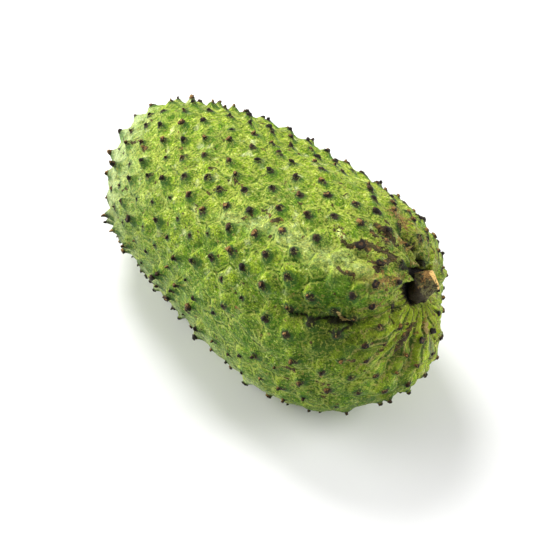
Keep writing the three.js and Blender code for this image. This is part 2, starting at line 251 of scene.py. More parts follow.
THIN_SCARS = (
    (((-24.1, 107.2), (-26.0, 99.4)), 0.55),
    (((-55.4, 81.7), (-55.8, 77.6)), 0.6),
    (((-56.0, 72.7), (-53.2, 71.4)), 0.55),
    (((3.1, 39.3), (3.8, 36.8)), 0.6),
    (((-24.2, 51.0), (-24.2, 45.0)), 0.6),
    (((-83.7, 107.0), (-81.8, 99.5)), 0.8),
    (((-8.5, 50.5), (-8.9, 47.2), (-8.0, 43.6)), 0.5),
    (((-22.8, 52.4), (-22.0, 51.2), (-21.0, 47.6)), 0.5),
    (((1.5, -35.0), (4.0, -39.5), (1.5, -44.0), (-5.9, -41.0)), 0.6),
)
CRACKS = (
    (((-70.0, 12.0), (-61.9, 9.3), (-54.8, 8.6), (-50.2, 5.4), (-46.4, 4.6)), 1.1),
    (((-57.2, 1.6), (-53.0, 1.2), (-48.0, 2.5)), 0.9),
    (((-56.6, 7.0), (-53.4, 6.0)), 2.8),
    (((-51.6, 5.6), (-48.6, 4.6)), 2.6),
    (((4.6, 29.5), (5.2, 24.0), (4.6, 18.5), (4.8, 13.0), (5.4, 9.6)), 1.7),
    (((6.2, 26.4), (5.8, 20.6)), 2.8),
    (((-8.5, 18.4), (-5.6, 15.4), (-3.4, 12.0)), 0.8),
    (((-12.6, 20.6), (-10.0, 18.0), (-6.5, 15.5)), 1.2),
    (((-23.6, -1.6), (-21.2, -1.4)), 1.1),
)
# Valleys sink the skin and are darkened as painted shade.
VALLEYS = (
    (((-74.0, 15.0), (-63.0, 9.5), (-54.0, 6.0), (-45.0, 3.5)), 4.6),
    (((-60.0, 0.0), (-50.0, -4.0), (-40.0, -6.0)), 3.6),
)
# Painted light: pale bands on the upper face of the long ridge.
LIT_BANDS = (
    (((-62.0, 84.0), (-52.0, 68.5), (-44.5, 52.5), (-40.5, 41.0), (-33.0, 32.0)), 8.0),
)
# Painted shade: deep green bands below the ridge.
SHADED_BANDS = (
    (((-49.0, 25.5), (-43.5, 22.5), (-38.0, 17.5), (-31.0, 9.0)), 6.5),
    (((-55.0, 22.0), (-62.0, 26.0)), 6.0),
)
# Raised pale lines of dry skin: a curled one in the crack, two above the stem, one below it.
PALE_LINES = (
    (((-51.4, 12.6), (-52.2, 9.2), (-52.2, 6.4), (-50.6, 5.2), (-49.0, 5.8)), 0.75),
    (((-3.6, 19.6), (-1.6, 16.6), (0.2, 12.8)), 0.3),
    (((3.0, 23.6), (7.6, 21.4)), 0.4),
    (((-5.8, -17.4), (-6.4, -20.2), (-7.6, -22.2)), 1.0),
)
# Worn reddish skin, in patches and in specks.
RUSSET = (
    (((-4.4, -16.6), (-5.0, -20.0), (-6.6, -23.0)), 3.0),
    (((-26.0, 20.5), (-22.0, 18.0), (-17.0, 16.0)), 3.4),
    (((17.9, 30.0), (23.0, 31.6), (17.6, 37.3)), 5.0),
    (((-33.3, 11.3), (-32.3, 10.3)), 2.4),
    (((2.0, 24.0), (-1.5, 30.0)), 3.0),
)
RUSTY = (
    (((14.0, 30.0), (17.0, 16.0), (19.0, 4.0), (16.0, -8.0)), 7.0),
    (((4.0, 24.0), (8.0, 15.0)), 4.0),
    (((-30.0, 20.0), (-18.0, 28.0)), 7.0),
)
GREY_BLOOM = (
    (((-5.0, -31.1), (-3.9, -40.0)), 3.4),
)
# A pointed flap of skin reaches over the cavity's edge towards the stem, with lobes above it
# and beyond. Each is a stroke with its half widths.
FLAP = (
    (((-21.5, 22.5), (-16.0, 18.0), (-12.0, 14.5), (-8.4, 11.0)), (5.5, 4.6, 3.0, 0.8)),
    (((-18.0, 24.0), (-12.5, 20.5), (-8.6, 17.2)), (4.5, 3.4, 1.8)),
    (((-9.0, 25.5), (-5.6, 21.8), (-2.6, 17.6), (0.0, 12.8)), (3.6, 2.8, 1.9, 0.6)),
    (((10.8, 24.5), (9.8, 18.0), (9.0, 13.0), (8.2, 9.0)), (3.6, 3.3, 2.8, 1.4)),
    (((16.5, 18.5), (10.5, 13.5), (7.4, 10.2), (5.6, 7.8)), (7.0, 5.6, 3.4, 1.4)),
    (((19.0, 4.0), (13.5, 2.5), (10.0, 1.5)), (6.0, 4.5, 1.8)),
)
# Spines near these places have ringed scars, this wide, in place of tips.
KNOBS = (
    ((-30.7, 35.9), 4.6),
    ((-30.4, 25.7), 3.4),
    ((-21.7, 25.0), 3.0),
    ((-33.3, 11.3), 3.6),
    ((-14.5, -26.5), 3.6),
)

# Sides are directions. Each edge is the cosines to it where it sets in and is full.
# This side is painted darker and deeper green: partly painted shade, partly the skin's own deeper pigment.
SHADY_SIDE = (0.45, -0.75, -0.45)
SHADY_EDGE = (0.35, 0.85)
# Here the areoles swell most, with painted shade on their edges and painted light on their lime middles.
LOWER_SIDE = (0.3, -0.95, 0.15)
LOWER_EDGE = (0.55, 0.9)
# Painted reflection of the pale surroundings on the left and lower edges: side, edge and strength.
REFLECTING_SIDES = (
    ((-0.95, -0.3, -0.08), (0.26, 0.95), 1.0),
    ((-0.41, -0.51, -0.76), (0.5, 0.88), 0.6),
)
# Painted shade falls to this side: the deep green beside each spine is painted shadow there, slopes that
# face it are painted darker, and dry tips are darkest on it. The tips' painted highlight faces the next
# side.
SHADED_TOWARDS = (0.84, 0.17, -0.52)
# Painted highlight: the tips' side that faces this way is tan.
HIGHLIGHT_TOWARDS = (-0.5, -0.3, 0.8)


def smooth(start, end, value):
    """0 up to start, 1 from end on, with a soft rise between."""
    share = np.clip((value - start) / (end - start), 0.0, 1.0)
    return share * share * (3.0 - 2.0 * share)


def chance(index, draw):
    """A fixed number from 0 to 1 for each index and draw."""
    wave = np.sin(index * 12.9898 + draw * 78.233) * 43758.5453
    return wave - np.floor(wave)


def unit(rows):
    """Vectors made 1 long."""
    rows = np.asarray(rows, float)
    return rows / np.linalg.norm(rows, axis=-1, keepdims=True)


def tilt(rows):
    """Turns vectors by the slope of the fruit's long axis."""
    c, s = math.cos(AXIS_TILT), math.sin(AXIS_TILT)
    x, y, z = rows.T
    return np.stack([x * c - z * s, y, x * s + z * c], axis=1)


def body_point(aims):
    """The smooth body's surface where unit directions aim."""
    across = np.hypot(aims[:, 1], aims[:, 2])
    reach = (np.abs(aims[:, 0]) ** FULLNESS + across**FULLNESS) ** (-1.0 / FULLNESS)
    swell = np.zeros(len(aims))
    for faces, out in SWELLINGS:
        swell += out * np.exp(-(1.0 - aims @ unit(faces)) / SWELLING_SPREAD)
    reach = reach * (1.0 + swell / SWELLING_REACH)
    along = aims[:, 0] * reach
    thick = reach * (1.0 + STEM_END_SWELL * along)
    sides = [HALF_LENGTH * along, HALF_WIDTH * aims[:, 1] * thick, HALF_HEIGHT * aims[:, 2] * thick]
    return tilt(np.stack(sides, axis=1)) + CENTRE


def sideways(aims):
    """Two directions square to each aim: a level one and the one above it."""
    first = unit(np.cross([0.0, 0.0, 1.0], aims))
    return first, np.cross(aims, first)


def body_normal(aims):
    """Which way the smooth body's surface faces."""
    step = 0.01
    u, v = sideways(aims)
    du = body_point(unit(aims + step * u)) - body_point(unit(aims - step * u))
    dv = body_point(unit(aims + step * v)) - body_point(unit(aims - step * v))
    return unit(np.cross(du, dv))


def move_aim(aims, shift):
    """A small move over the surface, as new aims."""
    c, s = math.cos(AXIS_TILT), math.sin(AXIS_TILT)
    x, y, z = shift.T
    turned = [(x * c + z * s) / HALF_LENGTH, y / HALF_WIDTH, (-x * s + z * c) / HALF_HEIGHT]
    return unit(aims + np.stack(turned, axis=1))


POLE_AIM = unit([STEM_POLE])
POLE = body_point(POLE_AIM)[0]
POLE_NORMAL = body_normal(POLE_AIM)[0]
POLE_LEVEL = unit(np.cross([0.0, 0.0, 1.0], POLE_NORMAL))
POLE_UP = np.cross(POLE_NORMAL, POLE_LEVEL)


def from_pole(points):
    """Distance from the stem's pole, and heading round it."""
    d = points - POLE
    return np.linalg.norm(d, axis=1), np.arctan2(d @ POLE_UP, d @ POLE_LEVEL)


def on_chart(away, heading):
    """Places on the stem's chart."""
    return np.stack([away * np.cos(heading), away * np.sin(heading)], axis=1)


def turn_between(a, b):
    """The shortest turn from b to a."""
    return np.arctan2(np.sin(a - b), np.cos(a - b))


def cavity(away, heading):
    """How far the cavity sinks the skin, and the shoulder round it lifts it."""
    radius = CAVITY_RADIUS * (1.0 + CAVITY_LOPSIDED * np.cos(heading - CAVITY_WIDE_TOWARDS))
    sunk = CAVITY_DEPTH * np.exp(-((away / radius) ** CAVITY_EDGE))
    shoulder = SHOULDER_RISE * np.exp(-(((away - SHOULDER_RADIUS) / SHOULDER_WIDTH) ** 2))
    return shoulder - sunk


def folds(away, heading):
    """How far the long folds and the furrows round the cavity raise the skin."""
    rise = np.zeros(len(away))
    for toward, curl, start, end, deep, half in FOLDS:
        off = away * turn_between(heading, toward + curl * away)
        run = smooth(start, start + FOLD_SETS_IN, away) * (1.0 - smooth(end * FOLD_HOLDS, end, away))
        rise -= deep * run * np.exp(-((off / half) ** 2))
    run = smooth(FURROW_FROM, FURROW_FROM + FURROW_SETS_IN, away)
    run = run * (1.0 - smooth(FURROW_TO * FURROW_HOLDS, FURROW_TO, away))
    wander = FURROW_SWING * np.sin(2.0 * heading + 0.6) + FURROW_SHIVER * np.sin(3.0 * heading)
    return rise + FURROW_DEEP * run * np.cos(FURROWS * heading + wander)


def skin_point(aims):
    """The skin without spines: body, cavity and folds."""
    points = body_point(aims)
    away, heading = from_pole(points)
    near = (away < FOLDS_REACH)[:, None]
    lifted = body_normal(aims) * folds(away, heading)[:, None]
    lifted = lifted + POLE_NORMAL * cavity(away, heading)[:, None]
    return points + np.where(near, lifted, 0.0)


# ---------------------------------------------------------------- where the spines stand


def spacing_at(points):
    """How much room a spine keeps."""
    away, _ = from_pole(points)
    waist = (SPACING_WAIST - SPACING_STEM) * smooth(*WAIST_SPAN, away)
    return SPACING_STEM + waist + (SPACING_TIP - SPACING_WAIST) * smooth(*TIP_SPAN, away)


def aims_round_stem():
    """The spineless sites in the cavity."""
    aims = []
    for radius, count in CAVITY_RINGS:
        turn = 2.0 * math.pi * (np.arange(count) + 0.5 * (count % 2)) / count
        shift = radius * (np.outer(np.cos(turn), POLE_LEVEL) + np.outer(np.sin(turn), POLE_UP))
        aims.append(move_aim(np.repeat(POLE_AIM, count, axis=0), shift))
    return np.vstack(aims)


def turned_to_pole(rows):
    """Turns vectors by the shortest turn from +X to the stem's pole."""
    start, end = np.array([1.0, 0.0, 0.0]), POLE_AIM[0]
    axis = np.cross(start, end)
    s, c = np.linalg.norm(axis), start @ end
    axis = axis / s
    return rows * c + np.cross(axis, rows) * s + np.outer(rows @ axis, axis) * (1.0 - c)


def aims_of_spines():
    """The spines on a golden spiral that starts at the stem."""
    i = np.arange(SPINES, dtype=float)
    along = 1.0 - 2.0 * (i + 0.5 + LATTICE_OPENING * (1.0 - i / SPINES)) / (SPINES + LATTICE_OPENING)
    across = np.sqrt(1.0 - along * along)
    turn = i * GOLDEN_ANGLE + LATTICE_JITTER * (chance(i, DRAW_LATTICE) - 0.5) / np.maximum(across, 0.2)
    return turned_to_pole(np.stack([along, across * np.cos(turn), across * np.sin(turn)], axis=1))


def settled(fixed, free):
    """Spines push each other apart until they keep the spacing of their part of the fruit."""
    for _ in range(SETTLING_ROUNDS):
        points = body_point(np.vstack([fixed, free]))
        room = spacing_at(points)
        apart = points[len(fixed) :, None, :] - points[None, :, :]
        gap = np.linalg.norm(apart, axis=2)
        want = PUSHED_WITHIN * (room[len(fixed) :, None] + room[None, :])
        near = (gap < want) & (gap > 0.0)
        push = np.where(near, SETTLING_STEP * (want - gap) / np.maximum(gap, 1e-9), 0.0)
        free = move_aim(free, np.einsum("ij,ijk->ik", push, apart))
    return free


@functools.cache
def grown_spines():
    """Aims, feet, axes and lengths of the sites. Those in the cavity have no length."""
    fixed = aims_round_stem()
    free = settled(fixed, aims_of_spines())
    i = np.arange(SPINES, dtype=float)
    u, v = sideways(free)
    turn = 2.0 * math.pi * chance(i, DRAW_SCATTER_TURN)
    far = SCATTER * (0.5 + chance(i, DRAW_SCATTER))
    shift = u * (far * np.cos(turn))[:, None] + v * (far * np.sin(turn))[:, None]
    free = move_aim(free, tilt(shift))
    away, _ = from_pole(body_point(free))
    grown = SPINE_LENGTH_STEM + (SPINE_LENGTH_TIP - SPINE_LENGTH_STEM) * smooth(*LENGTH_SPAN, away)
    side = smooth(*WORN_SIDE_EDGE, (free @ unit([WORN_SIDE]).T)[:, 0])
    worn = chance(i, DRAW_WORN) < WORN_SHARE + (WORN_SHARE_SIDE - WORN_SHARE) * side
    kept = np.where(worn, WORN_LENGTH, 1.0 + (TALL_LENGTH - 1.0) * side)
    grown = grown * kept * (LENGTH_LEAST + LENGTH_SPREAD * chance(i, DRAW_LENGTH))
    length = np.concatenate([np.zeros(len(fixed)), grown])

    aims = np.vstack([fixed, free])
    index = np.arange(len(aims), dtype=float)
    u, v = sideways(aims)
    normal = body_normal(aims)
    turn = 2.0 * math.pi * chance(index, DRAW_LEAN_TURN)
    lean = SPINE_LEAN * chance(index, DRAW_LEAN)
    axis = normal + u * (lean * np.cos(turn))[:, None] + v * (lean * np.sin(turn))[:, None]
    foot = skin_point(aims)
    # A spine under the fruit is no longer than its room over the surface it lies on.
    room = np.maximum(foot[:, 2], 0.0) / np.maximum(-normal[:, 2], 0.05)
    length = np.where(normal[:, 2] < 0.0, np.minimum(length, room), length)
    return {"aims": aims, "feet": foot, "axes": axis, "lengths": length, "normals": normal}


# ---------------------------------------------------------------- node trees


class Flow:
    """A socket that numbers, colours or vectors flow from. Arithmetic adds Math nodes."""

    def __init__(self, tree, socket):
        self.tree = tree
        self.socket = socket

    def also(self, name):
        """Another output of the same node."""
        return Flow(self.tree, open_socket(self.socket.node.outputs, name))

    def __add__(self, other):
        return self.tree.math("ADD", self, other)

    def __radd__(self, other):
        return self.tree.math("ADD", other, self)

    def __sub__(self, other):
        return self.tree.math("SUBTRACT", self, other)

    def __rsub__(self, other):
        return self.tree.math("SUBTRACT", other, self)

    def __mul__(self, other):
        return self.tree.math("MULTIPLY", self, other)

    def __rmul__(self, other):
        return self.tree.math("MULTIPLY", other, self)


def open_socket(sockets, name):
    """The socket of that name or number that the node's settings leave in use."""
    if isinstance(name, int):
        return sockets[name]
    return next(s for s in sockets if s.name == name and s.enabled and not s.is_unavailable)


class Tree:
    """Adds nodes to a material's tree or a geometry tree."""

    def __init__(self, nodes_of):
        self.tree = nodes_of
        self.tree.nodes.clear()

    def add(self, kind, settings=None, inputs=None, out=0):
        """A node of that type: its settings first, then its sockets. Returns one output."""
        node = self.tree.nodes.new(kind)
        for name, value in (settings or {}).items():
            setattr(node, name, value)
        for name, value in (inputs or {}).items():
            self.feed(open_socket(node.inputs, name), value)
        return Flow(self, open_socket(node.outputs, out)) if len(node.outputs) else node

    def feed(self, socket, value):
        if isinstance(value, Flow):
            self.tree.links.new(value.socket, socket)
        else:
            socket.default_value = value

    def math(self, operation, *values):
        return self.add("ShaderNodeMath", {"operation": operation}, dict(enumerate(values)))

    def vector_math(self, operation, inputs, out=0):
        return self.add("ShaderNodeVectorMath", {"operation": operation}, inputs, out)


class Finish(Tree):
    """A material made of nodes, in coats. Lengths in its patterns are millimetres."""

    def __init__(self, name):
        self.material = bpy.data.materials.new(name)
        self.material.use_nodes = True
        super().__init__(self.material.node_tree)
        self.colour = None
        place = self.add("ShaderNodeTexCoord", out="Object")
        self.place = self.vector_math("SCALE", {0: place, "Scale": 1.0 / MM})

    def grain(self, size, detail=2.0, rough=0.5, at=None, stretch=None, shift=0.0):
        """Cloudy noise from 0 to 1 whose lumps are about size across."""
        at = at or self.place
        if stretch:
            at = self.vector_math("MULTIPLY", {0: at, 1: stretch})
        inputs = {"Vector": at, "Scale": 1.0 / size, "Detail": detail, "Roughness": rough, "W": shift}
        return self.add("ShaderNodeTexNoise", {"noise_dimensions": "4D"}, inputs, "Fac")

    def cells(self, size, at):
        """How far the nearest middle is in a pattern of random cells about size across."""
        inputs = {"Vector": at, "Scale": 1.0 / size}
        return self.add("ShaderNodeTexVoronoi", {"feature": "F1"}, inputs, "Distance")

    def wander(self, size, far, shift=0.0, at=None):
        """A place, strayed by up to far, so that patterns lose their straight edges."""
        inputs = {"Vector": self.place, "Scale": 1.0 / size, "Detail": 2.0, "W": shift}
        stray = self.add("ShaderNodeTexNoise", {"noise_dimensions": "4D"}, inputs, "Color")
        centred = self.vector_math("SUBTRACT", {0: stray, 1: (0.5, 0.5, 0.5)})
        scaled = self.vector_math("SCALE", {0: centred, "Scale": 2.0 * far})
        return self.vector_math("ADD", {0: at or self.place, 1: scaled})

    def rise(self, value, start, end):
        """0 where value is at start, 1 where it is at end, with a soft rise between."""
        inputs = {"Value": value, "From Min": start, "From Max": end}
        return self.add("ShaderNodeMapRange", {"interpolation_type": "SMOOTHSTEP"}, inputs)

    def lay(self, under, over, mask):
        """One colour laid over another where the mask is 1."""
        inputs = {"Factor": mask, "A": under, "B": over}
        return self.add("ShaderNodeMix", {"data_type": "RGBA"}, inputs, "Result")

    def coat(self, over, mask):
        """Lays one more colour over the finish's own where the mask is 1."""
        self.colour = self.lay(self.colour, over, mask)

    def shade(self, colour, amount):
        """A colour made lighter or darker by an amount round 1."""
        return self.vector_math("SCALE", {0: colour, "Scale": amount})

    def mark(self, name):
        """A number that the mesh carries at each of its points."""
        return self.add("ShaderNodeAttribute", {"attribute_name": name}, out="Fac")

    def bump(self, height, deep, under=None):
        """A bump as deep as given, in millimetres, where height goes from 0 to 1."""
        inputs = {"Height": height, "Distance": deep * MM, "Strength": 1.0}
        if under:
            inputs["Normal"] = under
        return self.add("ShaderNodeBump", None, inputs)

    def finish(self, constants, varying):
        """The Principled shader: constants on its sockets, varying inputs linked."""
        shader = self.add("ShaderNodeBsdfPrincipled", None, constants | varying)
        self.add("ShaderNodeOutputMaterial", None, {"Surface": shader})
        return self.material


class Recipe(Tree):
    """A Geometry Nodes tree with named inputs, run on an object and made plain mesh."""

    def __init__(self, name, sockets):
        group = bpy.data.node_groups.new(name, "GeometryNodeTree")
        super().__init__(group)
        group.interface.new_socket("Geometry", in_out="INPUT", socket_type="NodeSocketGeometry")
        for label, kind in sockets.items():
            group.interface.new_socket(label, in_out="INPUT", socket_type=kind)
        group.interface.new_socket("Geometry", in_out="OUTPUT", socket_type="NodeSocketGeometry")
        self.given = self.add("NodeGroupInput", out="Geometry")

    def value(self, name):
        """One of the tree's named inputs."""
        return self.given.also(name)

    def end(self, geometry):
        """Realize Instances and Set Material, then the output."""
        real = self.add("GeometryNodeRealizeInstances", None, {"Geometry": geometry})
        inputs = {"Geometry": real, "Material": self.value("Material")}
        painted = self.add("GeometryNodeSetMaterial", None, inputs)
        self.add("NodeGroupOutput", None, {"Geometry": painted})

    def run(self, source, name, values):
        """Runs the tree on a mesh and returns a new object with the result as plain mesh."""
        carrier = bpy.data.objects.new(name + "_source", source)
        bpy.context.scene.collection.objects.link(carrier)
        modifier = carrier.modifiers.new(self.tree.name, "NODES")
        modifier.node_group = self.tree
        for item in self.tree.interface.items_tree:
            if item.in_out == "INPUT" and item.name in values:
                modifier[item.identifier] = values[item.name]
        depsgraph = bpy.context.evaluated_depsgraph_get()
        made = bpy.data.meshes.new_from_object(carrier.evaluated_get(depsgraph), depsgraph=depsgraph)
        made.name = name
        bpy.data.objects.remove(carrier)
        piece = bpy.data.objects.new(name, made)
        bpy.context.scene.collection.objects.link(piece)
        return piece


# ---------------------------------------------------------------- the rind

# How evenly the ball under the areole net spreads the long body's ends.
NET_STRETCH = 0.8
BALL_STRETCH = (HALF_LENGTH / HALF_WIDTH - 1.0) * NET_STRETCH

# Soft noise in layers: how far or high each goes, how broad its lumps are in mm, and a seed.
AREOLES_STRAY = ((2.4, 10.0, 2.3), (0.9, 4.0, 6.1))
MARKS_STRAY = ((1.0, 5.0, 7.7), (0.7, 2.0, 9.1))
SLIVERS_STRAY = ((0.3, 2.0, 9.1),)
HEADINGS_STRAY = ((0.16, 13.0, 5.5),)
PLEATS_STRAY = ((1.7, 12.0, 5.5),)
LUMPS = ((1.1, 21.0, 1.7), (0.7, 8.0, 4.1), (0.32, 3.4, 8.3))
CRINKLES = ((1.0, 3.1, 12.0), (0.5, 1.7, 15.0))
CRINKLE_LEVEL = 0.4
# Soft random vectors take their offsets from this, and from the clock if it isn't set.
STRAY_SEED = 7

# Areoles are calm within this distance of the pole, and rise over the lines round them within
# these. Their blossom sides stand higher by a step.
CALM_RADIUS = 24.0
CALM_ROUGHNESS = 0.35
PILLOW_EDGE = 1.6
PILLOW_LEVEL = 0.75
PILLOWS_LOWER = 0.6
PILLOWS_SHADY = 0.45
SCALE_STEP = 0.5
SCALE_EDGE = 2.2

# Pleats fan out of the cavity, deepest to one side, and long ridges go on below the stem. They
# rise and fade over these distances from the pole.
PLEATS = 34
PLEATS_RISE = (7.0, 13.0)
PLEATS_FADE = (26.0, 80.0)
PLEATED_TOWARDS = -2.2
PLEATED_ALL_ROUND = 0.55
PLEATED_TO_ONE_SIDE = 0.45
PLEAT_LEVEL = 0.9
NARROW_PLEATS = 9.5
NARROW_SEED = 5.9
NARROW_SHARE = 0.5
RIDGES = 2.6
RIDGES_SEED = 7.1
RIDGES_RISE = (16.0, 30.0)
RIDGES_FADE = (50.0, 105.0)
RIDGED_TOWARDS = -2.4
RIDGE_LEVEL = 0.6

# How high or deep the marks stand.
SCARS_RISE = 0.4
CRACKS_SINK = 1.9
VALLEYS_SINK = 1.7
SLIVERS_RISE = 1.6

# The flap stands about this high over the skin round the cavity, and droops towards the stem
# from this distance on.
FLAP_LEVEL = 0.8
FLAP_LUMPS = ((0.9, 6.0, 2.2),)
FLAP_EDGE = 0.3
FLAP_DROOP = 0.09
FLAP_DROOPS_FROM = 16.0

# These shares of the relief are held back within this distance of a spine's axis, and on the
# flap.
STEADY_RADIUS = 2.5
STEADIED = 0.8
FLAP_STEADIED = 0.7

# Spines have a dry tip from this length on. The stain keeps further off the long fleshy ones,
# and the painted shade of deep green off those worn to nubs. Skin with no tip near is this far off one.
TIPPED_FROM = 0.9
FLESHY_SPAN = (2.8, 4.6)
FLESHY_CLEARANCE = 0.9
WORN_TO_NUB = 1.4
NUB_CLEARANCE = 2.0
FAR_OFF = 9.0


def with_x(rows, x):
    """Unit vectors with another x, and turned about the X axis as they were."""
    across = np.maximum(np.hypot(rows[:, 1], rows[:, 2]), 1e-9)
    round_x = np.sqrt(1.0 - x * x) / across
    return np.stack([x, rows[:, 1] * round_x, rows[:, 2] * round_x], axis=1)


def on_ball(aims):
    """Spreads aims over a ball without changing angles much."""
    x = np.tanh(np.arctanh(np.clip(aims[:, 0], -0.9999, 0.9999)) + BALL_STRETCH * aims[:, 0])
    return with_x(aims, x)


def off_ball(balls):
    """The aims whose places on the ball are these."""
    table = np.tanh(np.linspace(-4.95, 4.95, 8001))
    balls = unit(balls)
    x = np.interp(balls[:, 0], np.tanh(np.arctanh(table) + BALL_STRETCH * table), table)
    return with_x(balls, x)


def nearest_two(points, sites):
    """For each point the nearest two sites and how far they are."""
    found = []
    for block in np.array_split(points, 40):
        gap = np.linalg.norm(block[:, None, :] - sites[None, :, :], axis=2)
        order = np.argpartition(gap, 1, axis=1)[:, :2]
        pair = np.take_along_axis(gap, order, axis=1)
        swap = pair[:, 0] > pair[:, 1]
        order[swap] = order[swap][:, ::-1]
        pair[swap] = pair[swap][:, ::-1]
        found.append((order[:, 0], order[:, 1], pair[:, 0], pair[:, 1]))
    return tuple(np.concatenate(part) for part in zip(*found))


def lumps(points, size, seed):
    """Soft noise from -1 to 1 whose lumps are about size across."""
    offset = Vector((seed, 2.0 * seed, 3.0 * seed))
    return np.array([noise.noise(Vector(p) / size + offset) for p in points])


def layered(points, layers):
    """The sum of layers of soft noise."""
    return sum(high * lumps(points, size, seed) for high, size, seed in layers)


def stray(points, size, seed):
    """Soft random vectors, each up to about 1 long."""
    noise.seed_set(STRAY_SEED)
    offset = Vector((3.0 * seed, seed, 2.0 * seed))
    return np.array([noise.noise_vector(Vector(p) / size + offset)[:] for p in points])


def strayed(rows, points, layers):
    """Rows moved by layers of soft random vectors, which are read at points."""
    for far, size, seed in layers:
        rows = rows + far * stray(points, size, seed)[:, : rows.shape[1]]
    return rows


def parts_of(chart, path):
    """For each part of a stroke, how far along it chart places are, and how far off its line."""
    for start, end in zip(path[:-1], path[1:]):
        a, b = np.array(start), np.array(end)
        share = np.clip((chart - a) @ (b - a) / ((b - a) @ (b - a)), 0.0, 1.0)
        yield share, np.linalg.norm(chart - a - share[:, None] * (b - a), axis=1)


def strokes(chart, away, marks, soft=1.0):
    """1 on the strokes, falling off to 0 within soft times their width."""
    mask = np.zeros(len(chart))
    for path, wide in marks:
        far = np.min([off for _, off in parts_of(chart, path)], axis=0)
        mask = np.maximum(mask, np.exp(-((far / (wide * soft)) ** 2)))
    return mask * (away < CHART_REACH)


def tapered(chart, marks):
    """1 on the strokes, 0 from their edges on. Their half widths go from corner to corner."""
    best = np.zeros(len(chart))
    for path, widths in marks:
        for (share, off), wide, next_wide in zip(parts_of(chart, path), widths[:-1], widths[1:]):
            best = np.maximum(best, 1.0 - off / (wide + (next_wide - wide) * share))
    return best


def pleats(away, heading, turns, seed):
    """Folds that fan out of the cavity: 0 in a crease, up to about 1 on a fold's back."""
    ring = np.stack([turns * np.cos(heading), turns * np.sin(heading), away / 45.0], axis=1)
    return np.minimum(2.2 * np.abs(lumps(ring, 1.0, seed)), 1.0)


def net_recipe():
    """A hull round the sites, divided, made a hull again and divided further, on a ball."""
    sockets = {
        "First Division": "NodeSocketInt",
        "Second Division": "NodeSocketInt",
        "Material": "NodeSocketMaterial",
    }
    recipe = Recipe("Areole net", sockets)
    net = recipe.given
    for division in ("First Division", "Second Division"):
        net = recipe.add("GeometryNodeConvexHull", None, {"Geometry": net})
        inputs = {"Mesh": net, "Level": recipe.value(division)}
        net = recipe.add("GeometryNodeSubdivideMesh", None, inputs)
        place = recipe.add("GeometryNodeInputPosition")
        inputs = {"Geometry": net, "Position": recipe.vector_math("NORMALIZE", {0: place})}
        net = recipe.add("GeometryNodeSetPosition", None, inputs)
    recipe.end(recipe.add("GeometryNodeSetShadeSmooth", None, {"Geometry": net}))
    return recipe


def carry(mesh, name, values):
    """Gives the mesh a number at each of its points."""
    mesh.attributes.new(name, "FLOAT", "POINT").data.foreach_set("value", values.astype(np.float32))


def read_points(mesh, name):
    """The places or normals of the mesh's points."""
    flat = np.empty(3 * len(mesh.vertices), np.float32)
    mesh.vertices.foreach_get(name, flat)
    return flat.reshape(-1, 3)


def places_on_rind(mesh, look):
    """Where the ball's points stand on the fruit, drawn in to their spines."""
    spines = grown_spines()
    aims = off_ball(read_points(mesh, "co").astype(float))
    owner, _, near, next_near = nearest_two(body_point(aims), body_point(spines["aims"]))
    share = 2.0 * near / (near + next_near)
    kept = look.drawn_in + (1.0 - look.drawn_in) * share
    kept = np.where(spines["lengths"][owner] > 0.0, kept, 1.0)[:, None]
    aims = unit(aims * kept + spines["aims"][owner] * (1.0 - kept))

    at = SimpleNamespace(body=body_point(aims), normal=body_normal(aims), skin=skin_point(aims))
    at.foot = spines["feet"][owner]
    at.axis = spines["axes"][owner]
    at.length = spines["lengths"][owner]
    at.far = np.linalg.norm(at.skin - at.foot, axis=1)
    at.away, at.heading = from_pole(at.body)
    at.chart = on_chart(at.away, at.heading)
    at.shady = smooth(*SHADY_EDGE, at.normal @ unit(SHADY_SIDE))
    at.lower = smooth(*LOWER_EDGE, at.normal @ unit(LOWER_SIDE)) * (1.0 - at.shady)
    return at


def areole_relief(at, look):
    """Areoles, lumps and wrinkles. A spine stands at the blossom side of its areole."""
    spines = grown_spines()
    feet = body_point(spines["aims"])
    stemward = POLE - feet
    stemward = stemward - spines["normals"] * np.sum(stemward * spines["normals"], axis=1)[:, None]
    stemward = unit(stemward + 1e-6)
    shift = look.areole_shift / MM * (spines["lengths"] > 0.0)
    middles = feet + stemward * shift[:, None]
    wavy = strayed(at.body, at.body, AREOLES_STRAY)
    at.cell, other, near, next_near = nearest_two(wavy, middles)
    between = np.linalg.norm(middles[at.cell] - middles[other], axis=1)
    at.border = (next_near**2 - near**2) / (2.0 * between)
    blossomward = np.sum((wavy - middles[at.cell]) * -stemward[at.cell], axis=1) / (0.5 * between)

    calm = 1.0 - np.exp(-((at.away / CALM_RADIUS) ** 4))
    swollen = 1.0 + PILLOWS_LOWER * at.lower - PILLOWS_SHADY * at.shady
    pillow = 1.0 - np.exp(-at.border / PILLOW_EDGE)
    step = SCALE_STEP * blossomward * smooth(0.0, SCALE_EDGE, at.border)
    pillows = look.pillow_rise / MM * calm * swollen * (pillow - PILLOW_LEVEL + step)
    bumps = look.lump_rise / MM * layered(at.skin, LUMPS)
    wrinkled = CRINKLE_LEVEL
    for high, size, seed in CRINKLES:
        wrinkled = wrinkled - high * np.abs(lumps(wavy, size, seed))
    crinkle = look.crinkle_rise / MM * wrinkled
    return pillows + (bumps + crinkle) * (CALM_ROUGHNESS + (1.0 - CALM_ROUGHNESS) * calm)


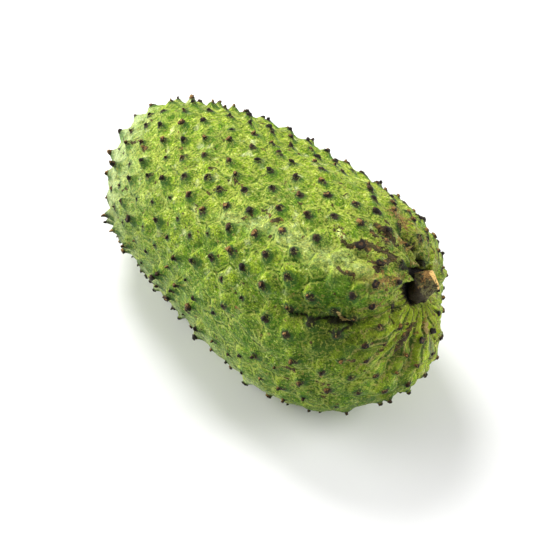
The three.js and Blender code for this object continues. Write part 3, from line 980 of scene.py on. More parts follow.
def pleat_relief(at, look):
    """Pleats and long ridges, strayed sideways so that none runs straight."""
    at.strayed_heading = at.heading + layered(at.body, HEADINGS_STRAY)
    fan = smooth(*PLEATS_RISE, at.away) * (1.0 - smooth(*PLEATS_FADE, at.away))
    fan = fan * (PLEATED_ALL_ROUND + PLEATED_TO_ONE_SIDE * np.cos(at.heading - PLEATED_TOWARDS))
    broad = np.abs(np.cos(PLEATS / 2.0 * at.heading + layered(at.body, PLEATS_STRAY)))
    narrow = pleats(at.away, at.strayed_heading, NARROW_PLEATS, NARROW_SEED)
    furrows = look.pleat_rise / MM * fan * (broad + NARROW_SHARE * narrow - PLEAT_LEVEL)
    below = 0.5 + 0.5 * np.cos(at.heading - RIDGED_TOWARDS)
    ridged = below * smooth(*RIDGES_RISE, at.away) * (1.0 - smooth(*RIDGES_FADE, at.away))
    ridges = pleats(at.away, at.strayed_heading, RIDGES, RIDGES_SEED)
    at.crease = fan * (1.0 - broad * (0.8 + 0.2 * narrow))
    at.back = np.maximum(fan * broad, 0.55 * ridged * ridges)
    at.valley_floor = ridged * (1.0 - ridges)
    return furrows + look.ridge_rise / MM * ridged * (ridges - RIDGE_LEVEL)


def shape_rind(mesh, look):
    """Moves the ball's points to the skin, and gives them the numbers its finish reads."""
    at = places_on_rind(mesh, look)
    lift = areole_relief(at, look) + pleat_relief(at, look)

    wavy_chart = strayed(at.chart, at.body, MARKS_STRAY)
    scars = strokes(wavy_chart, at.away, CORKY_SCARS + THIN_SCARS)
    cracks = strokes(wavy_chart, at.away, CRACKS)
    valley = np.maximum(strokes(at.chart, at.away, CRACKS, 3.0), strokes(at.chart, at.away, VALLEYS))
    slivers = strokes(strayed(at.chart, at.body, SLIVERS_STRAY), at.away, PALE_LINES)
    lift = lift + SCARS_RISE * scars * (0.5 + lumps(at.skin, 1.6, 3.9))
    lift = lift - CRACKS_SINK * cracks - VALLEYS_SINK * valley + SLIVERS_RISE * slivers

    # The flap reaches over the cavity's sunken wall.
    flap = smooth(0.0, FLAP_EDGE, tapered(at.chart, FLAP))
    sunk = cavity(at.away, at.heading) + folds(at.away, at.heading)
    droop = FLAP_DROOP * np.maximum(FLAP_DROOPS_FROM - at.away, 0.0) ** 1.5
    over = flap * np.maximum(FLAP_LEVEL + layered(at.skin, FLAP_LUMPS) - droop - sunk, 0.0)
    hollow = -cavity(at.away, at.heading) * (1.0 - flap)

    cone = at.length * np.clip(1.0 - at.far / CONE_FOOT, 0.0, 1.0) ** CONE_FLARE
    cone = np.minimum(cone, CONE_SHARE * at.length)
    steady = np.exp(-((at.far / STEADY_RADIUS) ** 2)) * (at.length > 0.0)
    lift = lift * (1.0 - STEADIED * steady) * (1.0 - FLAP_STEADIED * flap)
    place = at.skin + at.normal * lift[:, None] + POLE_NORMAL * over[:, None] + at.axis * cone[:, None]
    place[:, 2] = np.maximum(place[:, 2], 0.0)
    mesh.vertices.foreach_set("co", (place * MM).astype(np.float32).ravel())
    mesh.update()

    # Painted shade and light: how far each slope turns from the smooth body towards the shaded side.
    lee = (read_points(mesh, "normal") - at.normal) @ unit(SHADED_TOWARDS)
    fleshy = FLESHY_CLEARANCE * smooth(*FLESHY_SPAN, at.length)
    # Painted shadow: the deep green beside each spine is centred this far towards the shaded side of its
    # foot.
    shaded_foot = at.foot + look.shade_shift / MM * unit([SHADED_TOWARDS])
    shade_far = np.linalg.norm(at.skin - shaded_foot, axis=1) + NUB_CLEARANCE * (at.length < WORN_TO_NUB)
    # Painted reflection: how far each point faces the sides whose edges take it.
    pale_reflection = [share * smooth(*edge, at.normal @ unit(side)) for side, edge, share in REFLECTING_SIDES]
    for name, values in {
        "lee": np.where(at.far < STEADY_RADIUS, 0.0, lee),
        "spine_far": np.where(at.length > TIPPED_FROM, at.far + fleshy, FAR_OFF),
        "shade_far": np.where(at.length > 0.0, shade_far, FAR_OFF),
        "border": at.border,
        "areole": chance(at.cell.astype(float), DRAW_AREOLE),
        "away": at.away,
        "ray_x": np.cos(at.strayed_heading),
        "ray_y": np.sin(at.strayed_heading),
        "crease": at.crease,
        "back": at.back,
        "valley_floor": at.valley_floor,
        "scar": scars,
        "crack": cracks,
        "valley": valley,
        "russet": strokes(wavy_chart, at.away, RUSSET),
        "rusty": strokes(wavy_chart, at.away, RUSTY),
        "bloom": strokes(wavy_chart, at.away, GREY_BLOOM),
        "pale": strokes(at.chart, at.away, LIT_BANDS),
        "deep": strokes(at.chart, at.away, SHADED_BANDS),
        "pale_line": slivers,
        "pit": hollow / CAVITY_DEPTH,
        "shady": at.shady,
        "lower": at.lower,
        "pale_reflection": np.max(pale_reflection, axis=0),
    }.items():
        carry(mesh, name, values)
    mesh.update()


# ---------------------------------------------------------------- the rind's finish

# Sizes are in millimetres. What a mask rises between is on the scale of the noise or of the
# mesh's number that it reads.


def rind_grains(skin):
    """The noises and the mesh's numbers that several coats read."""
    g = SimpleNamespace()
    for name in ("spine_far", "border", "away", "shady", "lower"):
        setattr(g, name, skin.mark(name))
    # Wrinkles run from the stem to the blossom end, so their patterns are longer that way.
    inputs = {"X": 60.0 * skin.mark("ray_x"), "Y": 60.0 * skin.mark("ray_y"), "Z": g.away * 0.9}
    g.flow = skin.add("ShaderNodeCombineXYZ", None, inputs)
    g.clouds = skin.grain(32.0, 3.0, 0.55)
    g.patches = skin.grain(8.0, 4.0, 0.6, shift=3.0)
    g.curds = skin.grain(1.5, 4.0, 0.75, at=skin.wander(2.0, 0.9, at=g.flow))
    g.mottle = skin.grain(3.0, 4.0, 0.75, at=skin.wander(3.0, 1.5, 6.0, at=g.flow), shift=6.0)
    g.dust = skin.grain(0.9, 2.0, 0.7, shift=7.0)
    g.crumble = skin.grain(1.8, 4.0, 0.65, shift=9.0)
    # Rays fan out of the stem's cavity.
    inputs = {"X": skin.mark("ray_x"), "Y": skin.mark("ray_y"), "Z": g.away * 0.02}
    ray = skin.add("ShaderNodeCombineXYZ", None, inputs)
    g.streak = skin.grain(0.12, 4.0, 0.62, at=ray)
    g.near_stem = skin.rise(g.away, 60.0, 18.0)
    return g


def coat_greens(skin, look, g):
    """Clouds of two greens and lime patches; painted shade on the areoles' edges and on the shady side,
    painted light on the areoles' middles; then pale curds, dark creases between them, bleached patches and
    the painted light of the pale bands.
    """
    skin.colour = look.leaf_green
    skin.coat(look.deep_green, skin.rise(g.clouds + 0.1 * g.shady, 0.44, 0.68))
    skin.coat(look.lime, skin.rise(g.patches - 0.05 * g.shady, 0.44, 0.64) * 0.65)
    curdled = g.curds + 0.35 * (g.dust - 0.5) + 0.2 * (g.patches - 0.5)
    # Painted shade on the areoles' edges and painted light on their middles: a little everywhere, most on
    # the lower side.
    middle = skin.rise(g.border + 3.0 * (g.curds - 0.5), 1.2, 3.8)
    skin.coat(look.deep_green, (1.0 - middle) * (0.2 + 0.6 * g.lower))
    skin.coat(look.lime, middle * (0.1 + 0.6 * g.lower))
    # Painted shade on the shady side, over its deeper pigment.
    skin.coat(look.deep_green, g.shady * 0.62)
    skin.coat(look.fleck, skin.rise(curdled, 0.54, 0.62) * (0.65 - 0.25 * g.lower - 0.35 * g.shady))
    skin.coat(look.pale, skin.rise(curdled, 0.6, 0.68) * (0.85 - 0.45 * g.shady))
    skin.coat(look.deep_green, skin.rise(curdled, 0.49, 0.38) * 0.85)
    bleached = skin.grain(7.0, 3.0, 0.6, shift=41.0)
    skin.coat(look.pale, skin.rise(bleached, 0.56, 0.69) * (0.65 - 0.55 * g.shady))
    # Painted light on the pale bands.
    skin.coat(look.pale, skin.mark("pale") * (0.1 + 0.45 * g.patches))


def coat_threads(skin, look, g):
    """Crooked threads, pale ones and dark ones. The bump raises and sinks them."""
    kinked = skin.wander(2.0, 1.0, 51.0, at=g.flow)
    pale = skin.math("MAXIMUM", threads(skin, 3.0, kinked, 31.0), threads(skin, 4.4, kinked, 33.0))
    dark = skin.math("MAXIMUM", threads(skin, 3.5, kinked, 35.0), threads(skin, 5.2, kinked, 37.0))
    g.pale_thread = pale * skin.rise(g.curds, 0.4, 0.55)
    g.dark_thread = dark * skin.rise(g.mottle, 0.62, 0.46)
    skin.coat(look.groove, g.dark_thread * (0.5 - 0.2 * g.lower - 0.2 * g.shady))
    skin.coat(look.fleck, g.pale_thread * (0.5 - 0.35 * g.lower - 0.4 * g.shady))


def coat_sides(skin, look, g):
    """Painted shade of the deep bands, painted reflection on the left and lower edges, and painted shade
    and light on each slope by the way it faces.
    """
    # Painted shade on the deep bands.
    skin.coat(look.deep_green, skin.rise(skin.mark("deep") + 1.4 * (g.curds - 0.5), 0.25, 0.6) * 0.7)
    # Painted reflection, pale, on the left and lower edges.
    reflected = skin.mark("pale_reflection") + 0.8 * (g.patches - 0.5) + 0.7 * (g.mottle - 0.5) + 0.3 * (g.dust - 0.5)
    skin.coat(look.pale_reflection, skin.rise(reflected, 0.08, 0.85) * 0.8)
    # Painted shade on slopes that face the shaded side, painted light on those that face away.
    lee = skin.mark("lee") + 0.3 * (g.curds - 0.5)
    skin.coat(look.deep_green, skin.rise(lee, 0.06, 0.42) * 0.6)
    skin.coat(look.lime, skin.rise(lee, -0.06, -0.42) * 0.45)
    # The tone is lower on the shady side, as painted shade.
    tone = 0.88 + 0.12 * skin.mark("areole") - 0.2 * g.shady
    tone = tone + 0.07 * g.near_stem * (1.0 - g.lower)
    tone = tone + 1.2 * (g.mottle - 0.5) + (2.6 + 1.0 * g.near_stem) * (g.dust - 0.5)
    skin.colour = skin.shade(skin.colour, tone)


def coat_areole_lines(skin, look, g):
    """Painted shade in the grooves between the areoles, broken here and there, each with a painted
    highlight as a pale rim. A few of the lines are dry.
    """
    broken = skin.rise(skin.grain(15.0, 2.0, shift=5.0), 0.4, 0.54)
    wobble = g.border + (skin.grain(2.2, 2.0, shift=11.0) - 0.5) * 1.3
    g.line = skin.rise(wobble, 0.8, 0.1) * broken
    # Painted highlight on the areoles' edges beside each groove.
    rim = skin.rise(wobble, 0.6, 1.0) * skin.rise(wobble, 2.1, 1.2) * broken
    skin.coat(look.fleck, rim * 0.3)
    # Painted shade in the groove.
    skin.coat(look.groove, g.line * 0.75)
    g.dry_line = skin.rise(wobble, 0.7, 0.2) * skin.rise(skin.grain(17.0, 2.0, shift=21.0), 0.63, 0.68)


def coat_round_spines(skin, look, g):
    """Deep green round each spine's foot, partly painted shade, with a painted shadow to one side; and a
    brown stain where the dry tip begins, reaching further to that side.
    """
    shade_far = skin.mark("shade_far")
    ragged = g.spine_far + 2.6 * (g.curds - 0.5)
    shaded = shade_far + 2.6 * (g.curds - 0.5)
    # Painted shadow to one side of each spine, and deep green all round its foot, partly painted shade.
    skin.coat(look.shade_green, skin.rise(shaded - 1.2 * g.lower, 4.2, 1.6) * 0.8)
    skin.coat(look.shade_green, skin.rise(ragged, 3.4, 1.8) * 0.7)
    stained = 0.6 * g.spine_far + 0.4 * shade_far + 4.6 * (g.crumble - 0.5)
    skin.coat(look.stain, skin.rise(stained, 2.8, 1.8) * 0.95)


def coat_pleats(skin, look, g):
    """Light and dark rays; painted light on the lime backs of pleats and ridges; painted shade on the
    valley floors, in the creases and along the valleys, with dry skin along the creases.
    """
    skin.coat(look.fleck, skin.rise(g.streak, 0.53, 0.66) * g.near_stem * 0.55)
    skin.coat(look.groove, skin.rise(g.streak, 0.48, 0.36) * g.near_stem * 0.6)
    # Painted light on the backs of the pleats and ridges.
    skin.coat(look.lime, skin.rise(skin.mark("back") + 1.2 * (g.curds - 0.5), 0.45, 0.85) * 0.6)
    # Painted shade on the valley floors between the ridges.
    skin.coat(look.groove, skin.rise(skin.mark("valley_floor"), 0.35, 0.95) * 0.6)
    crease = skin.mark("crease") + 0.5 * (g.curds - 0.5)
    dried = skin.rise(crease, 0.34, 0.46) * skin.rise(g.crumble, 0.42, 0.55)
    skin.coat(look.sliver, dried * 0.55)
    # Painted shade in the creases.
    skin.coat(look.groove, skin.rise(crease, 0.46, 0.7) * 0.92)
    # Painted shade along the valleys by the cracks.
    skin.colour = skin.shade(skin.colour, 1.0 - 0.42 * skin.mark("valley"))


def coat_dashes(skin, look, g):
    """Dry brown dashes anywhere, and the dry lines between areoles."""
    dashes = dashes_in(skin, (0.5, 1.5, 1.5), 8.2, 2.0)
    dashes = skin.math("MAXIMUM", dashes, dashes_in(skin, (1.4, 0.6, 1.0), 7.0, 15.0))
    g.dashes = skin.math("MAXIMUM", dashes, g.dry_line * skin.rise(g.crumble, 0.4, 0.52))
    tone = skin.lay(look.dry_brown, look.russet, skin.rise(skin.grain(7.0, shift=18.0), 0.56, 0.68))
    skin.coat(tone, g.dashes * skin.rise(g.spine_far, 2.0, 3.0) * 0.9)


def coat_scars(skin, look, g):
    """Corky scars with worn reddish patches, russet skin, cracks, and the cavity's floor: dry brown, going
    near-black with depth as painted shade.
    """
    warmth = skin.grain(3.4, 3.0, 0.6, shift=13.0)
    russet = skin.rise(skin.mark("russet") * 0.6 + (g.crumble - 0.5) * 2.4 + (g.dust - 0.5), 0.2, 0.55)
    russet_tone = skin.lay(look.dry_brown, look.russet, skin.rise(g.dust * 0.5 + warmth * 0.5, 0.46, 0.54))
    russet_tone = skin.shade(russet_tone, 0.6 + g.dust)
    skin.coat(russet_tone, russet * 0.85)
    specks = skin.rise(0.6 * g.streak + 0.4 * g.crumble + 0.5 * (g.dust - 0.5), 0.5, 0.58)
    skin.coat(russet_tone, skin.mark("rusty") * specks * 0.6)
    skin.coat(look.grey_bloom, skin.rise(skin.mark("bloom") + (g.crumble - 0.5), 0.3, 0.6) * 0.7)
    peppered = skin.rise(g.away, 50.0, 26.0) * skin.rise(warmth, 0.48, 0.62)
    peppered = peppered * skin.rise(g.crumble, 0.52, 0.6)
    scar = 0.95 * skin.mark("scar") + (g.crumble - 0.5) * 2.8 + (g.dust - 0.5) * 0.8
    g.cork = skin.math("MAXIMUM", skin.rise(scar, 0.38, 0.55), peppered)
    skin.coat(look.fleck, skin.rise(scar, 0.12, 0.3) * (1.0 - g.cork) * 0.35)
    cork_tone = skin.lay(look.cork, look.stain, skin.rise(scar + (g.dust - 0.5), 0.95, 0.5))
    cork_tone = skin.lay(cork_tone, look.russet, skin.rise(0.6 * warmth + 0.4 * g.crumble, 0.53, 0.6) * 0.7)
    skin.coat(skin.shade(cork_tone, 0.5 + g.dust), g.cork * 0.92)
    skin.coat(look.crack_black_and_pit_shade, skin.rise(skin.mark("crack") + (g.crumble - 0.5) * 1.6, 0.4, 0.75) * 0.9)
    skin.coat(look.sliver, skin.rise(skin.mark("pale_line") + (g.crumble - 0.5), 0.35, 0.6))
    # Painted shade: the cavity's floor darkens from dry brown to near-black as it sinks.
    pit = skin.mark("pit") + (g.crumble - 0.5) * 0.4 + (g.streak - 0.5) * 0.7
    skin.coat(look.dry_brown, skin.rise(pit, 0.32, 0.46) * 0.8)
    skin.coat(look.crack_black_and_pit_shade, skin.rise(pit, 0.5, 0.64))


def rind_finish(look):
    """Soursop skin: all its coats, its grain and its low sheen."""
    skin = Finish("Soursop rind")
    g = rind_grains(skin)
    for coats in (
        coat_greens,
        coat_threads,
        coat_sides,
        coat_areole_lines,
        coat_round_spines,
        coat_pleats,
        coat_dashes,
        coat_scars,
    ):
        coats(skin, look, g)
    relief = 0.5 * g.curds + 0.3 * g.dust + 0.35 * g.mottle
    relief = relief + 0.35 * g.pale_thread - 0.35 * g.dark_thread - 0.5 * g.line
    normal = skin.bump(relief * (0.9 + 0.5 * g.lower + 0.7 * g.near_stem), look.grain_rise / MM)
    normal = skin.bump(g.streak * g.near_stem, 0.9, normal)
    normal = skin.bump(g.cork * g.crumble, 0.6, normal)
    roughness = 0.5 + 0.2 * g.curds + 0.2 * g.cork + 0.1 * g.dashes
    constants = {"IOR": 1.45, "Specular IOR Level": 0.2, "Sheen Weight": 0.05, "Sheen Roughness": 0.4}
    return skin.finish(constants, {"Base Color": skin.colour, "Roughness": roughness, "Normal": normal})


def threads(skin, size, at, seed):
    """Thin curved lines, where soft noise passes its middle."""
    soft = skin.grain(size, 1.0, 0.5, at=at, shift=seed)
    return skin.rise(skin.math("ABSOLUTE", soft - 0.5), 0.055, 0.02)


def dashes_in(skin, squeeze, size, seed):
    """Short dry dashes, longest along the axis that squeeze makes least of."""
    place = skin.vector_math("MULTIPLY", {0: skin.wander(5.0, 2.6, seed), 1: squeeze})
    place = skin.vector_math("ADD", {0: place, 1: (seed, seed, seed)})
    dash = skin.cells(size, place)
    kind = skin.add("ShaderNodeSeparateColor", None, {"Color": dash.also("Color")}, "Red")
    half = 0.18 * kind - 0.035
    return skin.rise(dash, half + 0.03, half)


# ---------------------------------------------------------------- withered spine tips

TIP_SIDES = 8

# Rings of each kind of tip from its sunken foot up: radius, height, sideways, dry. A dry of 2
# is the pale inside of a hollow tip.
TIP_KINDS = {
    "blunt": (
        (1.1, -0.6, 0.0, 0.4),
        (1.15, -0.1, 0.0, 0.9),
        (0.95, 0.3, 0.05, 1.0),
        (0.8, 0.6, 0.12, 1.0),
        (0.6, 0.88, 0.22, 1.0),
        (0.25, 1.0, 0.3, 1.0),
    ),
    "hooked": (
        (1.1, -0.6, 0.0, 0.0),
        (1.1, -0.1, 0.0, 0.5),
        (0.85, 0.35, 0.12, 1.0),
        (0.68, 0.66, 0.34, 1.0),
        (0.5, 0.9, 0.6, 1.0),
        (0.22, 1.0, 0.82, 1.0),
    ),
    "crater": (
        (1.1, -0.6, 0.0, 0.2),
        (1.2, -0.1, 0.0, 0.7),
        (1.1, 0.3, 0.0, 1.0),
        (0.95, 0.6, 0.0, 1.0),
        (0.62, 0.6, 0.0, 1.2),
        (0.34, 0.45, 0.0, 2.0),
    ),
    "broken": (
        (1.1, -0.6, 0.0, 0.3),
        (1.15, -0.1, 0.0, 0.9),
        (0.95, 0.25, -0.04, 1.0),
        (0.8, 0.5, -0.12, 1.0),
        (0.5, 0.62, -0.25, 1.1),
        (0.2, 0.5, -0.2, 1.5),
    ),
    "stake": (
        (1.0, -0.6, 0.0, 0.0),
        (1.05, -0.1, 0.0, 0.8),
        (0.8, 0.45, 0.06, 1.0),
        (0.7, 0.8, 0.16, 1.0),
        (0.56, 1.1, 0.2, 1.0),
        (0.25, 1.22, 0.26, 1.0),
    ),
}
TIP_SEED = 20
TIP_NOTCH = 0.8
TIP_TWO_LOBED = 0.2
TIP_THREE_LOBED = 0.12

# Draws below each limit are of that kind, and the rest are blunt. This near the pole hooked
# tips and stakes have broken off.
BLUNT, HOOKED, CRATER, BROKEN, STAKE = range(len(TIP_KINDS))
HOOKED_BELOW = 0.35
BROKEN_BELOW = 0.6
STAKES_BELOW = 0.8
BROKEN_WITHIN = 60.0

# A tip's least share of its common width and height, and how much more chance gives it.
TIP_WIDTHS = (0.6, 0.75)
TIP_HEIGHTS = (0.8, 0.5)
# It is narrow on a short spine, slimmer far from the pole and stouter on a long spine.
TIP_WIDENS = (-0.6, 2.0)
TIP_SLIMS = (100.0, 160.0)
TIP_SLIMMED = 0.15
TIP_STOUTENS = (3.4, 5.0)
TIP_STOUTENED = 0.25
# It ends at this share of its spine's length, or is this tall if that is more.
TIP_REACH = 0.98
TIP_SHORTEST = 1.2
# Near the pole more of the tips are bleached, and those in a crack have shrunk.
TIP_PALES = (90.0, 40.0)
TIP_PALED = 0.35
TIP_SHRUNK = 0.8


def tip_shape(name, rings, seed):
    """A closed, uneven little horn of a few dozen faces."""
    points = [(0.0, 0.0, rings[0][1])]
    dry = [0.0]
    for level, (radius, height, aside, dryness) in enumerate(rings):
        for side in range(TIP_SIDES):
            turn = 2.0 * math.pi * side / TIP_SIDES
            notch = TIP_NOTCH * (float(chance(side + 10.0 * level, seed)) - 0.5) * (level > 1)
            lobe = TIP_TWO_LOBED * math.cos(2.0 * turn + seed)
            lobe = lobe + TIP_THREE_LOBED * math.cos(3.0 * turn + 2.0 * seed)
            rough = 1.0 + notch + lobe * (level > 0)
            x = radius * rough * math.cos(turn) + aside
            points.append((x, radius * rough * math.sin(turn), height * (0.8 + 0.2 * rough)))
            dry.append(dryness)
    top = rings[-1]
    points.append((top[2], 0.0, top[1] - (0.06 if top[3] > 1.0 else -0.04)))
    dry.append(top[3])
    ring = [1 + level * TIP_SIDES for level in range(len(rings))]
    faces = []
    for side in range(TIP_SIDES):
        after = (side + 1) % TIP_SIDES
        faces.append((0, ring[0] + after, ring[0] + side))
        faces.append((len(points) - 1, ring[-1] + side, ring[-1] + after))
        for low, high in zip(ring[:-1], ring[1:]):
            faces.append((low + side, low + after, high + after, high + side))
    mesh = bpy.data.meshes.new(name)
    mesh.from_pydata(points, [], faces)
    carry(mesh, "dry", np.array(dry))
    return bpy.data.objects.new(name, mesh)


def tips_recipe():
    """Stands a tip on each point, turned and sized as the point says."""
    sockets = {"Tip Shapes": "NodeSocketCollection", "Material": "NodeSocketMaterial"}
    recipe = Recipe("Spine tips", sockets)

    def read(name, kind):
        settings = {"data_type": kind}
        return recipe.add("GeometryNodeInputNamedAttribute", settings, {"Name": name}, "Attribute")

    inputs = {"Collection": recipe.value("Tip Shapes"), "Separate Children": True}
    shapes = recipe.add("GeometryNodeCollectionInfo", None, inputs)
    inputs = {"Vector": read("axis", "FLOAT_VECTOR")}
    stand = recipe.add("FunctionNodeAlignRotationToVector", {"axis": "Z"}, inputs)
    spin = recipe.add("ShaderNodeCombineXYZ", None, {"Z": read("spin", "FLOAT")})
    inputs = {"Rotation": stand, "Rotate By": spin}
    turned = recipe.add("FunctionNodeRotateRotation", {"rotation_space": "LOCAL"}, inputs)
    inputs = {
        "Points": recipe.given,
        "Instance": shapes,
        "Pick Instance": True,
        "Instance Index": read("kind", "INT"),
        "Rotation": turned,
        "Scale": read("girth", "FLOAT_VECTOR"),
    }
    placed = recipe.add("GeometryNodeInstanceOnPoints", None, inputs)
    recipe.end(recipe.add("GeometryNodeSetShadeSmooth", None, {"Geometry": placed}))
    return recipe


def tip_places(look):
    """A point for each spine, with the kind, size and turn of its tip."""
    spines = grown_spines()
    standing = (spines["lengths"] > TIPPED_FROM) & (spines["feet"][:, 2] > 1.0)
    index = np.nonzero(standing)[0].astype(float)
    length = spines["lengths"][standing]
    axis = unit(spines["axes"][standing])
    away, heading = from_pole(spines["feet"][standing])
    chart = on_chart(away, heading)

    draw = chance(index, DRAW_KIND)
    limits = (look.crater_share, HOOKED_BELOW, BROKEN_BELOW, STAKES_BELOW)
    kind = np.select([draw < limit for limit in limits], [CRATER, HOOKED, BROKEN, STAKE], BLUNT)
    kind = np.where(((kind == HOOKED) | (kind == STAKE)) & (away < BROKEN_WITHIN), BROKEN, kind)
    least, more = TIP_WIDTHS
    wide = look.tip_width / MM / 2.0 * (least + more * chance(index, DRAW_WIDTH))
    wide = wide * smooth(*TIP_WIDENS, length) * (1.0 - TIP_SLIMMED * smooth(*TIP_SLIMS, away))
    wide = wide * (1.0 + TIP_STOUTENED * smooth(*TIP_STOUTENS, length))
    least, more = TIP_HEIGHTS
    tall = np.maximum(length * (TIP_REACH - CONE_SHARE), TIP_SHORTEST)
    tall = tall * (least + more * chance(index, DRAW_HEIGHT))
    foot = spines["feet"][standing] + axis * (length * CONE_SHARE)[:, None]
    tone = chance(index, DRAW_TONE) * (1.0 + TIP_PALED * smooth(*TIP_PALES, away))
    for knob, width in KNOBS:
        nearest = int(np.argmin(np.linalg.norm(chart - np.array(knob), axis=1)))
        kind[nearest] = CRATER
        wide[nearest] = look.knob_scale * width / 2.0
        tone[nearest] = 0.0
    wide = wide * (1.0 - TIP_SHRUNK * smooth(0.2, 0.6, strokes(chart, away, CRACKS, 3.0)))

    mesh = bpy.data.meshes.new("tip_places")
    mesh.from_pydata((foot * MM).tolist(), [], [])
    for name, rows in {"axis": axis, "girth": np.stack([wide, wide, tall], axis=1) * MM}.items():
        held = mesh.attributes.new(name, "FLOAT_VECTOR", "POINT").data
        held.foreach_set("vector", rows.astype(np.float32).ravel())
    carry(mesh, "spin", 2.0 * math.pi * chance(index, DRAW_SPIN))
    carry(mesh, "tone", tone)
    mesh.attributes.new("kind", "INT", "POINT").data.foreach_set("value", kind.astype(np.int32))
    return mesh


def tips_finish(look):
    """Green flesh below, then dark dry skin, worn brown and bleached in places, with a painted highlight in
    brown and tan on its upper side.
    """
    tip = Finish("Dry spine tips")
    dry = tip.mark("dry")
    tone = tip.mark("tone")
    crumble = tip.grain(0.9, 3.0, 0.7)
    patches = tip.grain(9.0, 3.0, 0.55, shift=3.0)
    green = tip.lay(look.tip_green, look.tip_olive, patches)
    # Painted highlight on each tip's upper side, mixed with bleaching at random.
    bleached = tip.mark("bleached") * 0.4 + tone * 0.45 + (crumble - 0.5) * 1.6
    brown = tip.lay(look.tip_dark, look.tip_brown, tip.rise(bleached, 0.36, 0.6))
    brown = tip.lay(brown, look.tip_heart, tip.rise(bleached, 0.62, 0.8) * 0.9)
    tip.colour = tip.lay(green, brown, tip.rise(dry + (crumble - 0.5) * 1.6, 0.3, 0.6))
    heart = tip.lay(look.tip_brown, look.tip_heart, tip.rise(tone + crumble, 0.6, 1.2))
    tip.coat(heart, tip.rise(dry + (crumble - 0.5) * 0.8, 1.35, 1.8))
    varying = {
        "Base Color": tip.colour,
        "Roughness": 0.5 + 0.25 * crumble,
        "Normal": tip.bump(crumble, 0.35),
    }
    return tip.finish({"IOR": 1.45, "Specular IOR Level": 0.25}, varying)


# ---------------------------------------------------------------- the stem stub

# Share of the length from the base up, and the radius there as a share of the collar's and of
# the stub's.
STUB_PROFILE = (
    (0.0, 0.66, 0.0),
    (0.07, 0.9, 0.0),
    (0.17, 1.0, 0.0),
    (0.28, 0.96, 0.0),
    (0.4, 0.0, 1.38),
    (0.54, 0.0, 1.25),
    (0.74, 0.0, 1.1),
    (0.93, 0.0, 1.05),
    (1.0, 0.0, 0.97),
)
STUB_SIDES = 96
STUB_RINGS = 64
STUB_FACE_RINGS = 12
# How far its outline strays from round.
STUB_THREE_LOBED = 0.05
STUB_FIVE_LOBED = 0.03
# The collar bulges to one side and has knobs, over these shares of the length.
BULGE = 1.6
BULGE_TOWARDS = 3.4
KNOBBLY = 1.2
KNOBS_OFFSET = Vector((5.0, 5.0, 5.0))
COLLAR_FROM = (0.02, 0.12)
COLLAR_TO = (0.3, 0.5)
# Above it the stub is fuller to one side, and has lost a share of that by its end.
FULLER = 2.9
FULLER_TOWARDS = 2.1
FULLER_FROM = (0.12, 0.4)
FULLER_TO = (0.72, 1.0)
FULLER_LOST = 0.6
# The bark is tan more often on this side.
STUB_TAN_TOWARDS = 1.7
# The cut end slopes, and is dished, with rings in its wood.
CUT_SLOPE = 0.5
CUT_SLOPES_TOWARDS = 2.0
CUT_FROM = (0.8, 1.0)
CUT_DISH = 0.35
CUT_RINGS = 14.0
CUT_RINGS_RISE = 0.12
CUT_MIDDLE = 0.4


def share_bent(share):
    """The share of the stub's length that runs along its heading, up to a share of its length."""
    t = min(1.0, share / STUB_BENT_BY)
    return STUB_BENT_BY * (t**3 - t**4 / 2.0) + max(0.0, share - STUB_BENT_BY)


def stub_frame(share):
    """Centre, level, up and axis at a share of the stub's length: it leaves square and bends."""
    base = POLE + POLE_NORMAL * (STUB_GAP - CAVITY_DEPTH) + POLE_LEVEL * STUB_LEVEL + POLE_UP * STUB_UP
    heading = unit(STUB_HEADING)
    bend = float(smooth(0.0, STUB_BENT_BY, share))
    axis = unit(POLE_NORMAL * (1.0 - bend) + heading * bend)
    level = unit(POLE_LEVEL - axis * (POLE_LEVEL @ axis))
    centre = base + POLE_NORMAL * STUB_LENGTH * (share - share_bent(share))
    centre = centre + heading * STUB_LENGTH * share_bent(share)
    return centre, level, np.cross(axis, level), axis


def stub_radius(look, turn, share):
    """How thick the stub is towards a turn, at a share of its length."""
    shares = [row[0] for row in STUB_PROFILE]
    radii = [row[1] * STUB_COLLAR_RADIUS + row[2] * STUB_RADIUS for row in STUB_PROFILE]
    uneven = 1.0 + STUB_THREE_LOBED * math.sin(3.0 * turn + 2.0 * share)
    uneven = uneven + STUB_FIVE_LOBED * math.sin(5.0 * turn)
    radius = float(np.interp(share, shares, radii)) * uneven
    place = Vector((3.0 * math.cos(turn), 3.0 * math.sin(turn), 2.2 * share))
    ridge = noise.noise(place) * look.bark_rise / MM
    place = Vector((2.0 * math.cos(turn), 2.0 * math.sin(turn), 9.0 * share))
    knob = noise.noise(place + KNOBS_OFFSET)
    swollen = float(smooth(*COLLAR_FROM, share) * (1.0 - smooth(*COLLAR_TO, share)))
    bulge = BULGE * max(0.0, math.cos(turn - BULGE_TOWARDS)) + KNOBBLY * knob
    full = float(smooth(*FULLER_FROM, share) * (1.0 - FULLER_LOST * smooth(*FULLER_TO, share)))
    fuller = FULLER * full * max(0.0, math.cos(turn - FULLER_TOWARDS))
    return radius + ridge + swollen * bulge + fuller


